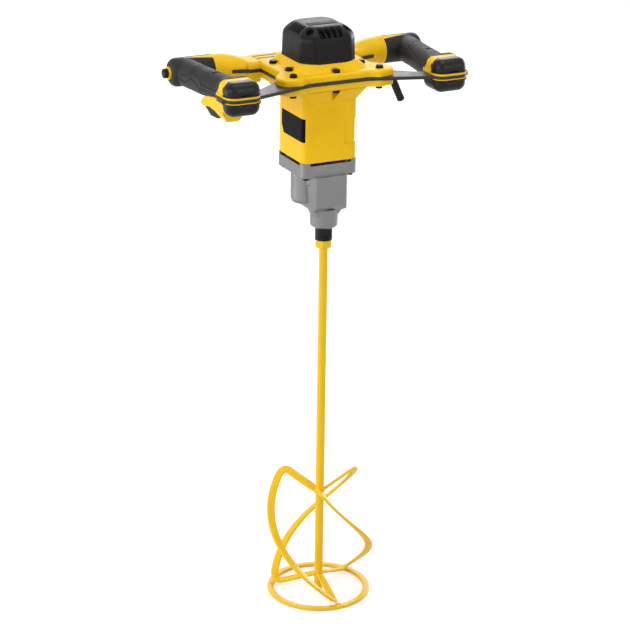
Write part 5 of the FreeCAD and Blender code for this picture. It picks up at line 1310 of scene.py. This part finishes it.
@dataclass
class HousingTrim:
    """Trim on the motor housing and hub: the bare plate, and black strips of painted shade for the
    slots on the hub's shoulders.
    """

    half: float = 44.0
    corner: float = 10.0
    middle_y: float = 25.0
    plate_low: float = 737.0
    plate_high: float = 772.0
    plate_front: float = 7.0
    plate_rear: float = 79.0
    plate_cut: float = 12.0
    plate_slope: float = 0.6
    plate_proud: float = 0.35
    plate_rows: int = 40
    plate_columns: int = 60
    strip_level: float = 841.98
    strip_from: float = 34.0
    strip_to: float = 72.0
    strip_rows: tuple[float, float] = (84.0, 97.0)
    strip_pitch: float = 3.0
    strip_slot: float = 2.4
    strip_half: float = 2.2
    strip_corner: float = 0.5
    strip_steps: Pairs = ((1.0, 0.0), (1.0, 0.25), (0.8, 0.25), (0.7, 0.05), (0.0, 0.05))

    def along_wall(self, way: np.ndarray, proud: float) -> tuple[np.ndarray, np.ndarray]:
        """The housing's outline round its front left corner: a quarter circle, then straight.

        Args:
            way: the distance from the start of the corner.
            proud: how far outside the wall.

        Returns:
            X and Y.
        """
        turn = np.clip(way / self.corner, 0.0, math.pi / 2)
        beyond = np.maximum(way - self.corner * math.pi / 2, 0.0)
        flat, radius = self.half - self.corner, self.corner + proud
        return (-flat - radius * np.sin(turn),
                self.middle_y - flat - radius * np.cos(turn) + beyond)

    def plate(self) -> None:
        """A thin plate laid on the wall: rows go up it, and the lower rear corner is cut off."""
        level = np.linspace(self.plate_low, self.plate_high, self.plate_rows)
        cut = self.plate_slope * np.maximum(self.plate_cut - (level - self.plate_low), 0.0)
        front = np.full_like(level, self.plate_front)
        way = np.linspace(front, self.plate_rear - cut, self.plate_columns, axis=1)
        outer = raised(np.stack(self.along_wall(way, self.plate_proud), axis=-1), level)
        Piece("housing_bare_plate", FILM, wall=self.plate_proud).make([outer], closed=False)

    def strips(self) -> None:
        """Rows of short slots across both shoulders, each a small black dished tray: painted shade
        for the inside of a slot.
        """
        outline = rounded_outline(self.strip_slot / 2, self.strip_half, self.strip_corner,
                                  steps=3)
        share, rise = np.array(self.strip_steps).T
        tray = raised(outline * share[:, None, None], rise)
        places = np.arange(self.strip_from, self.strip_to, self.strip_pitch)
        # painted shade: black trays laid on the hub stand in for the shade inside the vent slots
        Piece("hub_slot_shade_strips", BUMPER).make(
            [tray + (side.value * x, y, self.strip_level)
             for side in Side for y in self.strip_rows for x in places])

    def build(self) -> None:
        """Lay the plate and the strips."""
        self.plate()
        self.strips()


@dataclass
class CaseFoot:
    """The cast fillet that runs from the foot of the gear case's body down to its neck."""

    neck_height: float = 28.0
    half: float = 24.1
    front: float = 17.9
    rear: float = 20.2
    softness: float = 30.0
    inner: float = 18.0
    neck: float = 20.7
    above: float = 1.5
    drop: float = 11.5
    easing: float = 0.8
    rows: int = 24
    columns: int = 180

    def build(self) -> None:
        """Blend the body's soft outline into the neck's circle by a power of the way down."""
        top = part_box("gear_case")[0][2] / MM + self.neck_height + self.above
        sides = [self.half, self.rear, self.half, self.front]
        body = soft_polygon(self.columns, sides, self.softness)
        share = np.linspace(0.0, 1.0, self.rows)
        ease = share[:, None] ** self.easing
        radius = np.pad(body * (1 - ease) + self.neck * ease, ((1, 2), (0, 0)),
                        constant_values=self.inner)
        height = top - self.drop * np.concatenate([[0.0], share, [1.0, 0.0]])
        Piece("case_foot_fillet", CASTING, sharp=40.0).make([rounds(radius, height)[::-1]])


@dataclass
class CapTrim:
    """Trim on the motor cap: the bare band on its top and the lip under its front window."""

    top: float = 903.0
    band_half: float = 23.0
    band_depth: float = 7.0
    band_y: float = 17.0
    band_corner: float = 2.0
    band_proud: float = 0.5
    band_steps: Pairs = ((1.0, -0.4), (1.0, 0.7), (0.985, 0.95), (0.95, 1.0), (0.0, 1.0))
    lip_half: float = 22.0
    lip_y: float = -20.0
    lip_level: float = 887.6
    lip_radius: float = 1.5
    lip_tip: float = 0.02
    lip_rows: int = 60
    lip_points: int = 16

    def build(self) -> None:
        """Make the band, a low dome on a rounded rectangle, and the lip, a bar that tapers."""
        outline = rounded_outline(self.band_half, self.band_depth, self.band_corner, steps=6)
        share, rise = np.array(self.band_steps).T
        band = raised(outline * share[:, None, None], rise * self.band_proud)
        Piece("cap_bare_band", FILM).make([band + (0.0, self.band_y, self.top)])
        reach = np.linspace(-1.0, 1.0, self.lip_rows)
        line = np.outer(reach * self.lip_half, RIGHTWARD) + (0.0, self.lip_y, self.lip_level)
        size = self.lip_radius * np.sqrt(np.clip(1 - reach ** 6, self.lip_tip, 1.0))
        section = circle(self.lip_points) * size[:, None, None]
        lip = swept(line, REARWARD, UPWARD, section)
        Piece("cap_window_lip", CHARCOAL).make([lip])


def stood(right: np.ndarray, up: np.ndarray, back: np.ndarray, spot: np.ndarray) -> Matrix:
    """The pose of an object whose axes point right, up and back, standing at a spot."""
    return Matrix(np.vstack([np.column_stack([right, up, back, spot]), [0, 0, 0, 1]]).tolist())


@dataclass(frozen=True)
class Lamp:
    """A square soft lamp that faces the middle of the object. Lengths are in metres."""

    name: str
    spot: tuple[float, float, float]
    size: float
    power: float
    aim: float = 0.6

    def hang(self) -> None:
        """Hang the lamp at its spot, level, its back away from the point it aims at."""
        light = bpy.data.lights.new(self.name, "AREA")
        light.size = self.size
        light.energy = self.power
        back = unit(np.array(self.spot) - UPWARD * self.aim)
        right = unit(np.cross(UPWARD, back))
        set_up(self.name, light).matrix_world = stood(right, np.cross(back, right), back, self.spot)


@dataclass
class Studio:
    """A pale floor, soft lamps and the camera.

    Angles are in degrees, lengths in metres and image places in pixels.
    """

    image: float = 630.0
    focal: float = 2278.0
    azimuth: float = -26.62
    elevation: float = 20.84
    roll: float = 0.81
    depth: float = 3.588
    foot_x: float = 318.19
    foot_y: float = 587.19
    sensor: float = 36.0
    far_clip: float = 200.0
    floor_half: float = 30.0
    floor_low: float = -0.0003
    floor_grey: float = 0.62
    floor_glow: float = 0.5
    floor_roughness: float = 0.9
    surround_light: float = 0.5
    lamps: tuple[Lamp, ...] = (
        Lamp("left_lamp", (-3.6, -1.2, 1.5), 2.0, 50.0),
        Lamp("top_lamp", (0.2, -0.3, 4.2), 2.4, 48.0),
        Lamp("right_lamp", (3.2, 1.4, 0.5), 1.8, 60.0),
        Lamp("front_lamp", (1.6, -4.0, 2.0), 2.2, 34.0),
        Lamp("low_left_lamp", (-3.2, 1.7, 0.5), 2.0, 60.0),
        Lamp("high_rear_lamp", (1.6, 3.4, 2.3), 2.0, 36.0))

    def camera(self) -> None:
        """Stand the camera so that the frame's origin falls on its pixel at the depth given."""
        turn, rise, tilt = np.radians([self.azimuth, self.elevation, self.roll])
        level = np.array([np.cos(turn), np.sin(turn), 0.0])
        back = np.cross(level, UPWARD) * np.cos(rise) + UPWARD * np.sin(rise)
        upright = np.cross(back, level)
        right = level * np.cos(tilt) + upright * np.sin(tilt)
        up = upright * np.cos(tilt) - level * np.sin(tilt)
        pixel = self.depth / self.focal
        across, above = self.foot_x - self.image / 2, self.image / 2 - self.foot_y
        spot = back * self.depth - (right * across + up * above) * pixel
        lens = bpy.data.cameras.new("studio_camera")
        lens.sensor_width = self.sensor
        lens.lens = self.focal / self.image * self.sensor
        lens.clip_end = self.far_clip
        stand = set_up("studio_camera", lens)
        stand.matrix_world = stood(right, up, back, spot)
        bpy.context.scene.camera = stand

    def floor(self) -> None:
        """A wide flat sheet: white to the camera, a little darker where the object shades it."""
        corners = rounded_outline(self.floor_half, self.floor_half, 0.0, steps=0)
        mesh = bpy.data.meshes.new("studio_floor")
        mesh.from_pydata([(x, y, self.floor_low) for x, y in corners], [], [(0, 1, 2, 3)])
        white = bpy.data.materials.new("studio_floor_white")
        graph = Graph(white)
        graph.feed(graph.tree.nodes["Principled BSDF"], {
            "Base Color": shade(WHITE, self.floor_grey),
            "Roughness": self.floor_roughness,
            "Emission Color": WHITE,
            "Emission Strength": graph.spread(graph.seen(), (0.0, 1.0), (0.0, self.floor_glow))})
        mesh.materials.append(white)
        sheet = set_up("studio_floor", mesh)

    def surround(self) -> None:
        """An even white world, seen as white and lighting the object at a plain level."""
        world = bpy.data.worlds.new("studio_white")
        bpy.context.scene.world = world
        graph = Graph(world)
        strength = graph.spread(graph.seen(), (0.0, 1.0), (self.surround_light, 1.0))
        graph.feed(graph.tree.nodes["Background"], {"Color": WHITE, "Strength": strength})

    def build(self) -> None:
        """Set the whole studio up."""
        self.camera()
        self.floor()
        self.surround()
        for lamp in self.lamps:
            lamp.hang()
        bpy.context.scene.view_settings.view_transform = "Standard"
        LOG.info("studio: %d lamps", len(self.lamps))


def main() -> None:
    """Build the studio, dress the frame and add the finer pieces, in order."""
    logging.basicConfig(level=logging.INFO, format="%(message)s")
    Studio().build()
    dress_frame()
    Paddle().build()
    for side in Side:
        Grip(side).build()
        EndPads(side).build()
    for assembly in (Fasteners(), Dial(), LeadSleeve(), HousingTrim(), CaseFoot(), CapShell(),
                     CapTrim()):
        assembly.build()


if __name__ == "__main__":
    main()
